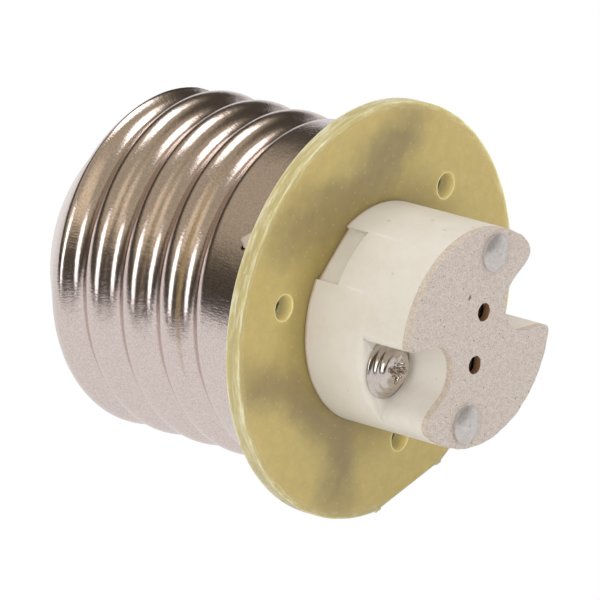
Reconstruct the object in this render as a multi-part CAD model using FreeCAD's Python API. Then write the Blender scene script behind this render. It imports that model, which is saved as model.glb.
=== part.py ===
import FreeCAD, Part
import math
import os

# A screw lamp cap of the 27 mm size that carries a small two-pin ceramic socket on a disc of
# glass-fibre board. All sizes are in millimetres and degrees.
# The pieces are built upright about their common axis: Z runs along it towards the socket, and
# z = 0 is the board's front face. At the end every piece is laid down together, so that the part
# rests on the board's snapped edge and on the shoulder of the cap, as it does on a table.

# Board disc
board_radius = 15.97
board_thickness = 1.2
snap_angle = -51.5
snap_depth = 0.5
nub_height = 0.14
nub_width = 0.55
vent_radius = 1.0
vent_circle = 11.2
vent_count = 3

# Screw shell, drawn and rolled from sheet
crest_radius = 13.15
thread_pitch = 3.629
thread_depth = 1.095
thread_inset = 1.35
thread_start_angle = -4.0
runout_turns = 0.2
thread_steps = 12
groove_reach = 0.03
root_share = 0.3
flank_share = 0.6
edge_share = 0.2
sheet = 0.3
shell_length = 20.9
shoulder_radius = 2.4
shoulder_steps = 4
lip_flat = 0.25
collar_length = 4.3

# End insulator and centre contact
insulator_fit = 0.05
flange_height = 1.6
dome_height = 4.0
dome_radius = 5.2
tip_radius = 4.9
insulator_wall = 2.0
lead_bore = 0.6
contact_radius = 4.4
contact_thickness = 0.55
contact_rim = 0.2
contact_crown = 2.6
solder_radius = 1.5
solder_height = 0.45

# Adhesive between board and shell
glue_leg = 0.55
smear_length = 2.2
smear_height = 0.35
smear_angle = 164.0
smear_sweep = 12.0

# Ceramic socket body and mica cover
socket_angle = -80.5
body_radius = 8.42
body_height = 9.2
base_round = 0.6
mica_thickness = 0.6
ledge_height = 5.5
notch_radius = 2.45
notch_slant = 43.0
notch_lean = 10.0
rim_round = 0.6
slot_angle = -123.0
slot_width = 4.7
slot_height = 2.9
slot_depth = 0.65

# Pins, spring contacts and their pockets
pin_spacing = 4.0
pin_hole_radius = 0.7
pocket_length = 2.6
pocket_width = 3.4
pocket_floor = 2.6
lead_hole_radius = 0.9
clip_sheet = 0.25
clip_length = 1.6
clip_half_width = 1.35
clip_mouth = 0.9
clip_gap = 0.6
clip_headroom = 0.4
clip_pinch_share = 0.8
clip_bend_share = 0.33
barrel_radius = 0.62
barrel_length = 1.5

# Rivets
rivet_spacing = 13.0
rivet_radius = 0.75
rivet_head_radius = 1.4
rivet_head_height = 0.6
rivet_head_edge = 0.25
rivet_tail_radius = 1.2
rivet_tail_height = 0.55
rivet_sink = 1.0

# Screws and nuts
screw_x = 3.05
screw_y = -4.92
screw_radius = 1.0
screw_flange_radius = 2.3
screw_flange_height = 0.3
screw_step_radius = 1.85
screw_step_height = 0.3
screw_head_radius = 1.6
screw_head_height = 1.2
screw_head_round = 0.45
recess_depth = 0.75
recess_width = 0.42
recess_length = 2.1
nut_flats = 4.0
nut_height = 1.6
nut_chamfer = 0.18
screw_overhang = 0.5

# Leads
core_radius = 0.35
sleeve_radius = 0.7
sleeve_fit = 0.04
sleeve_gap = 0.3
bend_share = 0.45
centre_lead_drop = 3.0
centre_lead_rise = 7.0
shell_lead_drop = 3.5
shell_lead_tail = 5.2
shell_lead_bare = 2.8
joint_radius = 1.25
joint_lift = 1.5

# Clearances
hole_clearance = 0.15
nut_clearance = 0.02
rivet_clearance = 0.05
counterbore_clearance = 0.3

board_back = -board_thickness
shell_end = board_back - shell_length
seat_z = shell_end + sheet
flange_top = seat_z + flange_height
thread_turns = (shell_length - thread_inset - collar_length) / thread_pitch
lip_radius = crest_radius - shoulder_radius - lip_flat
bore_radius = crest_radius - thread_depth - sheet
collar_bore = crest_radius - sheet
tip_z = shell_end - dome_height
cup_floor = tip_z + insulator_wall
contact_z = tip_z - contact_thickness
mica_top = body_height + mica_thickness
pin_x = pin_spacing / 2
rest_distance = board_radius - snap_depth + nub_height

AXIS = FreeCAD.Vector(0, 0, 1)
ORIGIN = FreeCAD.Vector(0, 0, 0)


def at(radius, z):
    """A point of a turned outline."""
    return FreeCAD.Vector(radius, 0, z)


def lines(points):
    """Straight edges through a list of points."""
    return [Part.LineSegment(a, b).toShape() for a, b in zip(points, points[1:])]


def bulged(start, end, radius):
    """An arc of an outline in the XZ plane that bulges away from the axis."""
    chord = end - start
    outward = FreeCAD.Vector(-chord.z, 0, chord.x).normalize()
    if outward.x < 0:
        outward = outward * -1
    sagitta = radius - math.sqrt(radius ** 2 - (chord.Length / 2) ** 2)
    return Part.Arc(start, (start + end) / 2 + outward * sagitta, end).toShape()


def turned(edges, sweep=360.0):
    """The solid that a closed outline in the XZ plane makes when it turns about Z."""
    return Part.Face(Part.Wire(edges)).revolve(ORIGIN, AXIS, sweep)


def rod(radius, low, high, x=0.0, y=0.0):
    """An upright cylinder from z = low to z = high."""
    return Part.makeCylinder(radius, high - low, FreeCAD.Vector(x, y, low), AXIS)


def block(length, width, low, high, x=0.0, y=0.0):
    """An upright box centred on x, y."""
    corner = FreeCAD.Vector(x - length / 2, y - width / 2, low)
    return Part.makeBox(length, width, high - low, corner)


def prism(corners, low, high):
    """An upright prism on a polygon of x, y corners."""
    wire = Part.makePolygon([FreeCAD.Vector(x, y, low) for x, y in corners + corners[:1]])
    return Part.Face(wire).extrude(AXIS * (high - low))


def swung(shape, angle):
    """The shape turned about the part's axis."""
    copy = shape.copy()
    copy.rotate(ORIGIN, AXIS, angle)
    return copy


def outer_rim(shape, z):
    """The longest edge that lies flat at height z, which is the rim of a turned solid."""
    flat = [edge for edge in shape.Edges if edge.BoundBox.ZLength < 0.001]
    level = [edge for edge in flat if abs(edge.CenterOfMass.z - z) < 0.001]
    return max(level, key=lambda edge: edge.Length)


def pair(shape):
    """A shape and its twin on the other side of the axis."""
    return [shape, swung(shape, 180.0)]


def groove_outline(inward):
    """Offsets along the axis and radii across the groove, on a form that lies inward of the crests.

    The standard round thread has two equal arcs, and the sheet follows them at an even
    thickness. Chords stand for them: a root, two flanks and a chamfer under each crest. The
    mouth reaches a little past the crest.
    """
    half_pitch = thread_pitch / 2
    arc_angle = 2 * math.atan(thread_depth / half_pitch)
    arc_radius = half_pitch / 2 / math.sin(arc_angle)
    crest_arc = arc_radius - inward
    crest_centre = crest_radius - arc_radius
    root_arc = arc_radius + inward
    root_centre = crest_radius - thread_depth + arc_radius

    def under_crest(share):
        angle = share * arc_angle
        return (half_pitch - crest_arc * math.sin(angle), crest_centre + crest_arc * math.cos(angle))

    root_angle = root_share * arc_angle
    root = (root_arc * math.sin(root_angle), root_centre - root_arc * math.cos(root_angle))
    flank = under_crest(flank_share)
    edge = under_crest(edge_share)
    level = crest_radius - inward + groove_reach
    reach = (level - flank[1]) / (edge[1] - flank[1])
    side = [(flank[0] + reach * (edge[0] - flank[0]), level), flank, root]
    return [(-dz, radius) for dz, radius in side] + side[::-1]


def thread_groove(inward):
    """The groove as a solid of ruled strips, lifted out of the sheet at both ends."""
    start_z = shell_end + thread_inset
    steps = int(math.ceil(thread_turns * thread_steps))
    rails = []
    ends = []
    for dz, radius in groove_outline(inward):
        points = []
        for step in range(steps + 1):
            turns = thread_turns * step / steps
            fade = max(0.0, 1 - min(turns, thread_turns - turns) / runout_turns)
            lifted = radius + (thread_depth + sheet) * fade ** 2
            angle = math.radians(thread_start_angle + 360 * turns)
            z = start_z + thread_pitch * turns + dz
            points.append(FreeCAD.Vector(lifted * math.cos(angle), lifted * math.sin(angle), z))
        curve = Part.BSplineCurve()
        curve.interpolate(points)
        rails.append(curve.toShape())
        ends.append((points[0], points[-1]))
    faces = [Part.makeRuledSurface(a, b) for a, b in zip(rails, rails[1:] + rails[:1])]
    for side in (0, 1):
        corners = [pair_of_ends[side] for pair_of_ends in ends]
        faces.append(Part.Face(Part.makePolygon(corners + corners[:1])))
    skin = Part.Compound(faces)
    skin.sewShape()
    groove = Part.Solid(skin.Shells[0])
    if groove.Volume < 0:
        groove.reverse()
    return groove


def shoulder_ring(inward):
    """What the rounded shoulder takes off the corner of a form, in a few chords."""
    radius = shoulder_radius - inward
    middle_r = crest_radius - shoulder_radius
    middle_z = shell_end + shoulder_radius
    bend = []
    for step in range(shoulder_steps + 1):
        angle = math.radians(90 * step / shoulder_steps)
        bend.append(at(middle_r + radius * math.sin(angle), middle_z - radius * math.cos(angle)))
    corner = [
        at(crest_radius + shoulder_radius, middle_z),
        at(crest_radius + shoulder_radius, shell_end - shoulder_radius),
        at(middle_r, shell_end - shoulder_radius),
    ]
    return turned(lines(bend + corner + bend[:1]))


def thread_form(inward):
    """The threaded body that lies inward of the shell's outer face by a given distance."""
    form = rod(crest_radius - inward, shell_end + inward, board_back)
    return form.cut(thread_groove(inward)).cut(shoulder_ring(inward))


def screw_shell():
    """The drawn sleeve: plain collar, rolled thread, rounded shoulder and turned-in lip."""
    skin = thread_form(0).cut(thread_form(sheet))
    return skin.cut(rod(lip_radius, shell_end, seat_z))


def end_insulator():
    """The moulded cup that closes the shell and bulges out of its lip."""
    neck = lip_radius - insulator_fit
    flange = bore_radius - insulator_fit
    foot = crest_radius - shoulder_radius - insulator_fit
    cup_radius = neck - insulator_wall
    edges = [bulged(at(neck, shell_end), at(tip_radius, tip_z), dome_radius)]
    edges += lines([
        at(tip_radius, tip_z),
        at(lead_bore, tip_z),
        at(lead_bore, cup_floor),
        at(tip_radius, cup_floor),
        at(cup_radius, shell_end),
        at(cup_radius, flange_top),
        at(flange, flange_top),
        at(flange, seat_z + flange - foot),
        at(foot, seat_z),
        at(neck, seat_z),
        at(neck, shell_end),
    ])
    return turned(edges)


def centre_contact():
    """The crowned metal button at the cap's tip, with a hole for the lead."""
    rim_z = tip_z - contact_rim
    edges = [bulged(at(contact_radius, rim_z), at(contact_crown, contact_z), contact_radius)]
    edges += lines([
        at(contact_crown, contact_z),
        at(lead_bore, contact_z),
        at(lead_bore, tip_z),
        at(contact_radius, tip_z),
        at(contact_radius, rim_z),
    ])
    return turned(edges)


def centre_solder():
    """The solder dot that fills the contact's hole around the lead."""
    ball_radius = (solder_radius ** 2 + solder_height ** 2) / 2 / solder_height
    foot = contact_z - solder_height
    edges = [bulged(at(0, foot), at(solder_radius, contact_z), ball_radius)]
    edges += lines([
        at(solder_radius, contact_z),
        at(lead_bore, contact_z),
        at(lead_bore, tip_z),
        at(core_radius, tip_z),
        at(core_radius, contact_z),
        at(0, contact_z),
        at(0, foot),
    ])
    return turned(edges)


def board_disc():
    """The board with vents, screw and lead holes, and the edge where it was snapped off."""
    flat = board_radius - snap_depth
    half_flat = math.sqrt(board_radius ** 2 - flat ** 2)
    disc = rod(board_radius, board_back, 0)
    disc = disc.cut(block(2 * snap_depth, 4 * half_flat, board_back, 0, board_radius))
    nub = [
        (flat - nub_width, -nub_width),
        (flat + nub_height, -nub_width / 2),
        (flat + nub_height, nub_width / 2),
        (flat - nub_width, nub_width),
    ]
    for middle in (half_flat - nub_width / 2, nub_width / 2 - half_flat):
        corners = [(x, y + middle) for x, y in nub]
        disc = disc.fuse(prism(corners, board_back, 0))
    disc = disc.removeSplitter()
    vent = rod(vent_radius, board_back, 0, vent_circle)
    vents = [swung(vent, 360.0 * index / vent_count) for index in range(vent_count)]
    disc = swung(disc.cut(Part.Compound(vents)), snap_angle)
    holes = pair(rod(screw_radius + hole_clearance, board_back, 0, screw_x, screw_y))
    holes += pair(rod(lead_hole_radius, board_back, 0, pin_x))
    return disc.cut(on_socket(Part.Compound(holes)))


def glue_bead():
    """The fillet of adhesive in the collar, and the smear on its outside."""
    inner = turned(lines([
        at(collar_bore, board_back),
        at(collar_bore, board_back - glue_leg),
        at(collar_bore - glue_leg, board_back),
        at(collar_bore, board_back),
    ]))
    smear = turned(lines([
        at(crest_radius, board_back),
        at(crest_radius + smear_height, board_back),
        at(crest_radius + smear_height / 2, board_back - smear_length / 2),
        at(crest_radius, board_back - smear_length),
        at(crest_radius, board_back),
    ]), smear_sweep)
    return Part.Compound([inner, swung(smear, smear_angle)])


def notch(low, high):
    """The space of one screw notch, open past the body's rim.

    A lobe's wall leans towards the screw, an arc goes round the screw, and a slanted wall runs
    back out to the rim.
    """
    lean = math.radians(notch_lean)
    slant = math.radians(notch_slant)
    centre = FreeCAD.Vector(screw_x, screw_y, low)

    def on_arc(angle):
        return centre + FreeCAD.Vector(math.cos(angle), math.sin(angle), 0) * notch_radius

    entry = on_arc(math.pi + lean)
    leave = on_arc(math.pi / 2 - slant)
    crown = on_arc((math.pi * 3 / 2 + lean - slant) / 2)
    lobe_end = entry + FreeCAD.Vector(math.sin(lean), -math.cos(lean), 0) * body_radius
    slant_end = leave + FreeCAD.Vector(math.cos(slant), -math.sin(slant), 0) * body_radius
    edges = [Part.Arc(entry, crown, leave).toShape()]
    edges += lines([leave, slant_end, lobe_end, entry])
    return Part.Face(Part.Wire(edges)).extrude(AXIS * (high - low))


def notched(low, high):
    """A slice of the socket with both notches and rounded corners at the rim."""
    slab = rod(body_radius, low, high).cut(Part.Compound(pair(notch(low, high))))
    corners = []
    for edge in slab.Edges:
        radii = [math.hypot(vertex.X, vertex.Y) for vertex in edge.Vertexes]
        heights = [vertex.Z for vertex in edge.Vertexes]
        upright = edge.Curve.TypeId == "Part::GeomLine" and max(heights) - min(heights) > (high - low) / 2
        if upright and min(radii) > body_radius - rivet_clearance:
            corners.append(edge)
    return slab.makeFillet(rim_round, corners)


def on_socket(shape):
    """A socket piece turned from the socket's own directions to its place on the board."""
    return swung(shape, socket_angle)


def ceramic_body():
    """The pressed body: notched head, round foot, contact pockets and lead slots."""
    foot = rod(body_radius, 0, ledge_height)
    foot = foot.makeFillet(base_round, [outer_rim(foot, 0)])
    body = foot.fuse(notched(ledge_height, body_height))
    sinks = pair(block(pocket_length, pocket_width, pocket_floor, body_height, pin_x))
    sinks += pair(rod(lead_hole_radius, 0, pocket_floor, pin_x))
    sinks += pair(rod(screw_radius + hole_clearance, 0, ledge_height, screw_x, screw_y))
    sinks += pair(rod(rivet_radius + rivet_clearance, 0, body_height, rivet_spacing / 2))
    sinks += pair(rod(rivet_tail_radius + counterbore_clearance, 0, rivet_sink, rivet_spacing / 2))
    slot = block(2 * slot_depth, slot_width, 0, slot_height, body_radius)
    sinks += pair(swung(slot, slot_angle))
    return on_socket(body.cut(Part.Compound(sinks)).removeSplitter())


def mica_cover():
    """The punched sheet that closes the contact pockets."""
    holes = pair(rod(pin_hole_radius, body_height, mica_top, pin_x))
    holes += pair(rod(rivet_radius + rivet_clearance, body_height, mica_top, rivet_spacing / 2))
    return on_socket(notched(body_height, mica_top).cut(Part.Compound(holes)))


def rivet():
    """A domed rivet from the cover down to its spread tail in the body's counterbore."""
    crown = rivet_head_height - rivet_head_edge
    crown_radius = (rivet_head_radius ** 2 + crown ** 2) / 2 / crown
    top = mica_top + rivet_head_height
    edge_z = mica_top + rivet_head_edge
    edges = [bulged(at(rivet_head_radius, edge_z), at(0, top), crown_radius)]
    edges += lines([
        at(0, top),
        at(0, rivet_sink - rivet_tail_height),
        at(rivet_tail_radius, rivet_sink - rivet_tail_height),
        at(rivet_tail_radius, rivet_sink),
        at(rivet_radius, rivet_sink),
        at(rivet_radius, mica_top),
        at(rivet_head_radius, mica_top),
        at(rivet_head_radius, edge_z),
    ])
    return turned(edges)


def screw():
    """A washer-head screw with a cross recess, standing on the notch's ledge."""
    step_z = ledge_height + screw_flange_height
    head_z = step_z + screw_step_height
    top = head_z + screw_head_height
    round_z = top - screw_head_round
    tail = board_back - nut_height - screw_overhang
    flat_radius = screw_head_radius - screw_head_round
    edges = [bulged(at(screw_head_radius, round_z), at(flat_radius, top), screw_head_round)]
    edges += lines([
        at(flat_radius, top),
        at(0, top),
        at(0, tail),
        at(screw_radius, tail),
        at(screw_radius, ledge_height),
        at(screw_flange_radius, ledge_height),
        at(screw_flange_radius, ledge_height + screw_flange_height / 2),
        at(screw_step_radius, step_z),
        at(screw_step_radius, head_z),
        at(screw_head_radius, head_z),
        at(screw_head_radius, round_z),
    ])
    arms = [
        block(recess_length, recess_width, top - recess_depth, top),
        block(recess_width, recess_length, top - recess_depth, top),
    ]
    well = Part.makeCone(recess_width, recess_length / 2, recess_depth, at(0, top - recess_depth))
    return turned(edges).cut(arms[0].fuse(arms[1]).common(well))


def nut():
    """A hexagon nut with chamfered corners, behind the board."""
    corner_radius = nut_flats / math.sqrt(3)
    low = board_back - nut_height
    corners = [(corner_radius * math.cos(math.radians(60 * index)),
                corner_radius * math.sin(math.radians(60 * index))) for index in range(6)]
    bore = screw_radius + nut_clearance
    cheese = turned(lines([
        at(bore, low),
        at(corner_radius - nut_chamfer * 2, low),
        at(corner_radius, low + nut_chamfer),
        at(corner_radius, board_back - nut_chamfer),
        at(corner_radius - nut_chamfer * 2, board_back),
        at(bore, board_back),
        at(bore, low),
    ]))
    return prism(corners, low, board_back).common(cheese)


def at_screw(shape):
    """A piece moved from the axis to the first screw's place."""
    copy = shape.copy()
    copy.translate(FreeCAD.Vector(screw_x, screw_y, 0))
    return on_socket(copy)


def at_rivet(shape):
    """A piece moved from the axis to the first rivet's place."""
    copy = shape.copy()
    copy.translate(FreeCAD.Vector(rivet_spacing / 2, 0, 0))
    return on_socket(copy)


def contact_clip():
    """A folded spring contact: two leaves that pinch the pin, and a barrel for the lead."""
    mouth_z = body_height - clip_headroom
    pinch_z = pocket_floor + (mouth_z - pocket_floor) * clip_pinch_share
    bend_z = pocket_floor + (mouth_z - pocket_floor) * clip_bend_share
    outer = [
        (clip_half_width, pocket_floor),
        (clip_half_width, bend_z),
        (clip_gap / 2 + clip_sheet, pinch_z),
        (clip_mouth + clip_sheet, mouth_z),
    ]
    inner = [
        (clip_mouth, mouth_z),
        (clip_gap / 2, pinch_z),
        (clip_half_width - clip_sheet, bend_z),
        (clip_half_width - clip_sheet, pocket_floor + clip_sheet),
    ]
    side = outer + inner
    loop = side + [(-y, z) for y, z in reversed(side)]
    start_x = pin_x - clip_length / 2
    wire = Part.makePolygon([FreeCAD.Vector(start_x, y, z) for y, z in loop + loop[:1]])
    clip = Part.Face(wire).extrude(FreeCAD.Vector(clip_length, 0, 0))
    clip = clip.fuse(rod(barrel_radius, pocket_floor - barrel_length, pocket_floor, pin_x))
    bore = rod(core_radius, pocket_floor - barrel_length, pocket_floor + clip_sheet, pin_x)
    return on_socket(clip.cut(bore).removeSplitter())


def lead_route(points, start_trim=0.0, end_trim=0.0):
    """Straight runs joined by tangent arcs, each about as large as its shorter run allows."""
    edges = []
    start = points[0] + (points[1] - points[0]).normalize() * start_trim
    for before, corner, after in zip(points, points[1:], points[2:]):
        back = before - corner
        ahead = after - corner
        reach = bend_share * min(back.Length, ahead.Length)
        half_turn = (math.pi - back.getAngle(ahead)) / 2
        radius = reach / math.tan(half_turn)
        back.normalize()
        ahead.normalize()
        inward = (back + ahead).normalize()
        middle = corner + inward * (radius / math.cos(half_turn) - radius)
        first = corner + back * reach
        last = corner + ahead * reach
        edges.append(Part.LineSegment(start, first).toShape())
        edges.append(Part.Arc(first, middle, last).toShape())
        start = last
    end = points[-1] + (points[-2] - points[-1]).normalize() * end_trim
    edges.append(Part.LineSegment(start, end).toShape())
    return Part.Wire(edges)


def tube(route, radius):
    """A round bar along a route that starts downwards."""
    circle = Part.makeCircle(radius, route.OrderedVertexes[0].Point, AXIS * -1)
    return route.makePipe(Part.Face(Part.Wire(circle)))


def sleeve(route):
    """The insulation around a lead's conductor."""
    return tube(route, sleeve_radius).cut(tube(route, core_radius + sleeve_fit))


def centre_lead_points():
    """The corners of the lead from the first spring contact to the centre contact."""
    high = board_back - centre_lead_drop
    low = cup_floor + centre_lead_rise
    return [
        FreeCAD.Vector(pin_x, 0, pocket_floor + clip_sheet),
        FreeCAD.Vector(pin_x, 0, high),
        FreeCAD.Vector(0, 0, low),
        FreeCAD.Vector(0, 0, contact_z),
    ]


def shell_lead_points():
    """The corners of the lead from the second spring contact to the shell's bore."""
    wall_x = core_radius - bore_radius
    end = flange_top + joint_lift
    return [
        FreeCAD.Vector(-pin_x, 0, pocket_floor + clip_sheet),
        FreeCAD.Vector(-pin_x, 0, board_back - shell_lead_drop),
        FreeCAD.Vector(wall_x, 0, end + shell_lead_tail),
        FreeCAD.Vector(wall_x, 0, end),
    ]


def shell_solder():
    """The solder that holds the second lead's bare end to the inside of the thread."""
    end = shell_lead_points()[-1]
    ball = Part.makeSphere(joint_radius, end + AXIS * joint_radius / 2)
    ball = ball.cut(rod(core_radius, end.z, end.z + 2 * joint_radius, end.x))
    return on_socket(ball).common(thread_form(sheet))


def all_pieces():
    """Every piece by name, still upright about the axis."""
    barrel_trim = clip_sheet + barrel_length + sleeve_gap
    centre_points = centre_lead_points()
    centre_trim = cup_floor + sleeve_gap - contact_z
    shell_points = shell_lead_points()
    pieces = {
        "screw_shell": screw_shell(),
        "end_insulator": end_insulator(),
        "centre_contact": centre_contact(),
        "centre_solder": centre_solder(),
        "board_disc": board_disc(),
        "glue_bead": glue_bead(),
        "ceramic_body": ceramic_body(),
        "mica_cover": mica_cover(),
        "centre_lead_core": on_socket(tube(lead_route(centre_points), core_radius)),
        "centre_lead_sleeve": on_socket(sleeve(lead_route(centre_points, barrel_trim, centre_trim))),
        "shell_lead_core": on_socket(tube(lead_route(shell_points), core_radius)),
        "shell_lead_sleeve": on_socket(sleeve(lead_route(shell_points[:3], barrel_trim, shell_lead_bare))),
        "shell_solder": shell_solder(),
    }
    twins = {
        "rivet": at_rivet(rivet()),
        "washer_screw": at_screw(screw()),
        "hex_nut": at_screw(nut()),
        "contact_clip": contact_clip(),
    }
    for name, shape in twins.items():
        pieces[name + "_a"], pieces[name + "_b"] = pair(shape)
    return pieces


def rest_lean():
    """How far the axis rises from level where the part lies on the board and the shoulder."""
    shoulder_x = shell_length - shoulder_radius
    shoulder_y = rest_distance - (crest_radius - shoulder_radius)
    span = math.hypot(shoulder_x, shoulder_y)
    return math.degrees(math.atan2(shoulder_y, shoulder_x) - math.asin(shoulder_radius / span))


def lay_down(pieces):
    """Turn the snapped edge down, tip the axis to its rest and stand the part on z = 0."""
    lean = rest_lean()
    turn = FreeCAD.Rotation(FreeCAD.Vector(0, 1, 0), 90 - lean)
    turn = turn.multiply(FreeCAD.Rotation(AXIS, -snap_angle))
    lift = rest_distance * math.cos(math.radians(lean)) - board_back * math.sin(math.radians(lean))
    for shape in pieces.values():
        shape.Placement = FreeCAD.Placement(ORIGIN, turn).multiply(shape.Placement)
    tips = [pieces[name].optimalBoundingBox() for name in ("centre_solder", "rivet_a", "rivet_b", "mica_cover")]
    middle = (min(tip.XMin for tip in tips) + max(tip.XMax for tip in tips)) / 2
    for shape in pieces.values():
        shape.translate(FreeCAD.Vector(-middle, 0, lift))


def main():
    """Build the pieces, lay them down and write one file for each."""
    pieces = all_pieces()
    lay_down(pieces)
    os.makedirs("parts", exist_ok=True)
    for name, shape in pieces.items():
        shape.exportStep("parts/" + name + ".step")
        print(name, len(shape.Solids), round(shape.Volume, 2), shape.isValid())


main()
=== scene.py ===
"""Looks of a lamp socket adapter: a nickel-plated screw cap that carries a ceramic socket.

The frame gives every piece its place. Pieces made here are built upright about the part's own
axis, in millimetres, with z = 0 on the board's front face and the socket above it. Their meshes
are then laid into the frame in one step.
"""

from __future__ import annotations

import logging
import math
from dataclasses import dataclass
from enum import IntEnum

import bmesh
import bpy
from mathutils import Matrix, Vector, noise

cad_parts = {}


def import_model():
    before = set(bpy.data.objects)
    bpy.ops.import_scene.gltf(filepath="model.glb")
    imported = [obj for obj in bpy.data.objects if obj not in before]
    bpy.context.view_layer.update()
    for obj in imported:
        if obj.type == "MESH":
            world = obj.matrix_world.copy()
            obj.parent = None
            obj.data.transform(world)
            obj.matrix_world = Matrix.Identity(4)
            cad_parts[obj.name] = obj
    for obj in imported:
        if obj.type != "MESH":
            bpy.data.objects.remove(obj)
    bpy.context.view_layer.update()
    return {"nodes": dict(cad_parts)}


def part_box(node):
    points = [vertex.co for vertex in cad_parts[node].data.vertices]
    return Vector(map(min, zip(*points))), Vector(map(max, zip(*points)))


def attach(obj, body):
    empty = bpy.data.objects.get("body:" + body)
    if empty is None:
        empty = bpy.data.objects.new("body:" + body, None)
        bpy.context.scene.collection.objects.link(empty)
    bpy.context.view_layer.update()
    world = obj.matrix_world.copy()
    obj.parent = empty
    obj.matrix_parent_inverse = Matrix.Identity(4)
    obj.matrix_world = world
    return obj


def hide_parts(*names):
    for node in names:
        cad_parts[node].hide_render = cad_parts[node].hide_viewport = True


LOG = logging.getLogger("lamp_socket_adapter")
MM = 0.001
BODY = "root"
Socket = bpy.types.NodeSocket

# Sizes that more than one piece needs, in millimetres and in degrees about the axis.
CREST_RADIUS = 13.15
BOARD_BACK = -1.2
VENT_CIRCLE = 11.2
VENT_RADIUS = 1.0
VENT_ANGLES = (-51.5, 68.5, 188.5)
SOCKET_ANGLE = -80.5
SCREW_PLACE = (3.05, -4.92)
LEDGE_HEIGHT = 5.5
BODY_HEIGHT = 9.2
COVER_THICKNESS = 0.6
PIN_X = 2.0

# Corners closer than this are one corner.
WELD = 1e-4


def linear(hex_code: str) -> tuple[float, float, float, float]:
    """Turn an sRGB hex code into a linear colour.

    Args:
        hex_code: six hex digits.

    Returns:
        Linear red, green and blue, and an alpha of 1.
    """
    channels = []
    for start in (0, 2, 4):
        value = int(hex_code[start:start + 2], 16) / 255
        channels.append(value / 12.92 if value <= 0.04045 else ((value + 0.055) / 1.055) ** 2.4)
    return (channels[0], channels[1], channels[2], 1.0)


def add_node(tree: bpy.types.NodeTree, kind: str, settings: dict | None = None,
             inputs: dict | None = None) -> bpy.types.Node:
    """Add a node, set its options and fill or link its inputs.

    Args:
        tree: the node tree to add it to.
        kind: the node's type name.
        settings: values for the node's own options.
        inputs: for each input's name or index, a value or another node's output socket.

    Returns:
        The new node.
    """
    node = tree.nodes.new(kind)
    for name, value in (settings or {}).items():
        setattr(node, name, value)
    for name, value in (inputs or {}).items():
        if isinstance(value, Socket):
            tree.links.new(value, node.inputs[name])
        else:
            node.inputs[name].default_value = value
    return node


def smooth_step(value: float) -> float:
    """Ease a value from 0 to 1 and hold it outside."""
    value = min(max(value, 0.0), 1.0)
    return value * value * (3 - 2 * value)


def around(radius: float, angle: float, z: float = 0.0) -> Vector:
    """The point at a radius, an angle in degrees and a height about the axis."""
    turn = math.radians(angle)
    return Vector((radius * math.cos(turn), radius * math.sin(turn), z))


def direction(azimuth: float, elevation: float) -> Vector:
    """The unit vector at an azimuth from +X towards +Y and an elevation, both in degrees."""
    lift = math.radians(elevation)
    return around(math.cos(lift), azimuth, math.sin(lift))


def node_middle(node: str) -> Vector:
    """The middle of a frame node's box."""
    low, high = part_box(node)
    return (low + high) / 2


@dataclass(frozen=True)
class PartFrame:
    """The part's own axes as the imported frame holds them.

    Attributes:
        origin: the middle of the board's front face, in metres.
        x: direction of angle 0 about the axis.
        y: direction of a quarter turn about the axis.
        z: the axis, towards the socket.
    """

    origin: Vector
    x: Vector
    y: Vector
    z: Vector

    @staticmethod
    def from_nodes(cover_height: float, socket_angle: float) -> "PartFrame":
        """Find the axes from the cover, the nuts and the rivets.

        Args:
            cover_height: height of the cover's middle above the board, in millimetres.
            socket_angle: turn of the line through the rivets about the axis, in degrees.

        Returns:
            The part's frame.
        """
        cover = node_middle("mica_cover")
        nuts = (node_middle("hex_nut_a") + node_middle("hex_nut_b")) / 2
        z = (cover - nuts).normalized()
        rivets = (node_middle("rivet_a") - node_middle("rivet_b")).normalized()
        x = Matrix.Rotation(math.radians(-socket_angle), 3, z) @ rivets
        return PartFrame(cover - z * cover_height * MM, x, z.cross(x), z)

    def turn(self) -> Matrix:
        """The turn from the part's own axes to the frame's."""
        return Matrix((self.x, self.y, self.z)).transposed()

    def matrix(self) -> Matrix:
        """The step from millimetres about the axis to the frame in metres."""
        return Matrix.Translation(self.origin) @ self.turn().to_4x4() @ Matrix.Scale(MM, 4)

    def mapping(self, tree: bpy.types.NodeTree) -> Socket:
        """Add nodes that give the surface point in millimetres about the axis.

        Args:
            tree: the material's node tree.

        Returns:
            The socket with that point.
        """
        where = add_node(tree, "ShaderNodeTexCoord")
        return add_node(tree, "ShaderNodeMapping", {"vector_type": "TEXTURE"}, {
            "Vector": where.outputs["Object"], "Location": self.origin,
            "Rotation": self.turn().to_euler(), "Scale": (MM, MM, MM)}).outputs["Vector"]


def piece(name: str, bm: bmesh.types.BMesh, frame: PartFrame,
          material: bpy.types.Material) -> bpy.types.Object:
    """Lay a mesh built about the axis into the frame and make it a piece of the part.

    Args:
        name: the piece's name.
        bm: its mesh, in millimetres about the axis; it is freed here.
        frame: the part's frame.
        material: the finish.

    Returns:
        The new object.
    """
    bm.transform(frame.matrix())
    mesh = bpy.data.meshes.new(name)
    bm.to_mesh(mesh)
    bm.free()
    mesh.shade_smooth()
    mesh.materials.append(material)
    made = bpy.data.objects.new(name, mesh)
    bpy.context.scene.collection.objects.link(made)
    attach(made, BODY)
    return made


def loop_edges(bm: bmesh.types.BMesh, points: list[Vector]) -> list[bmesh.types.BMEdge]:
    """Add a closed loop of edges.

    Args:
        bm: the mesh that gets it.
        points: its corners in order.

    Returns:
        The new edges.
    """
    verts = [bm.verts.new(point) for point in points]
    return [bm.edges.new(two) for two in zip(verts, verts[1:] + verts[:1])]


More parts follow.
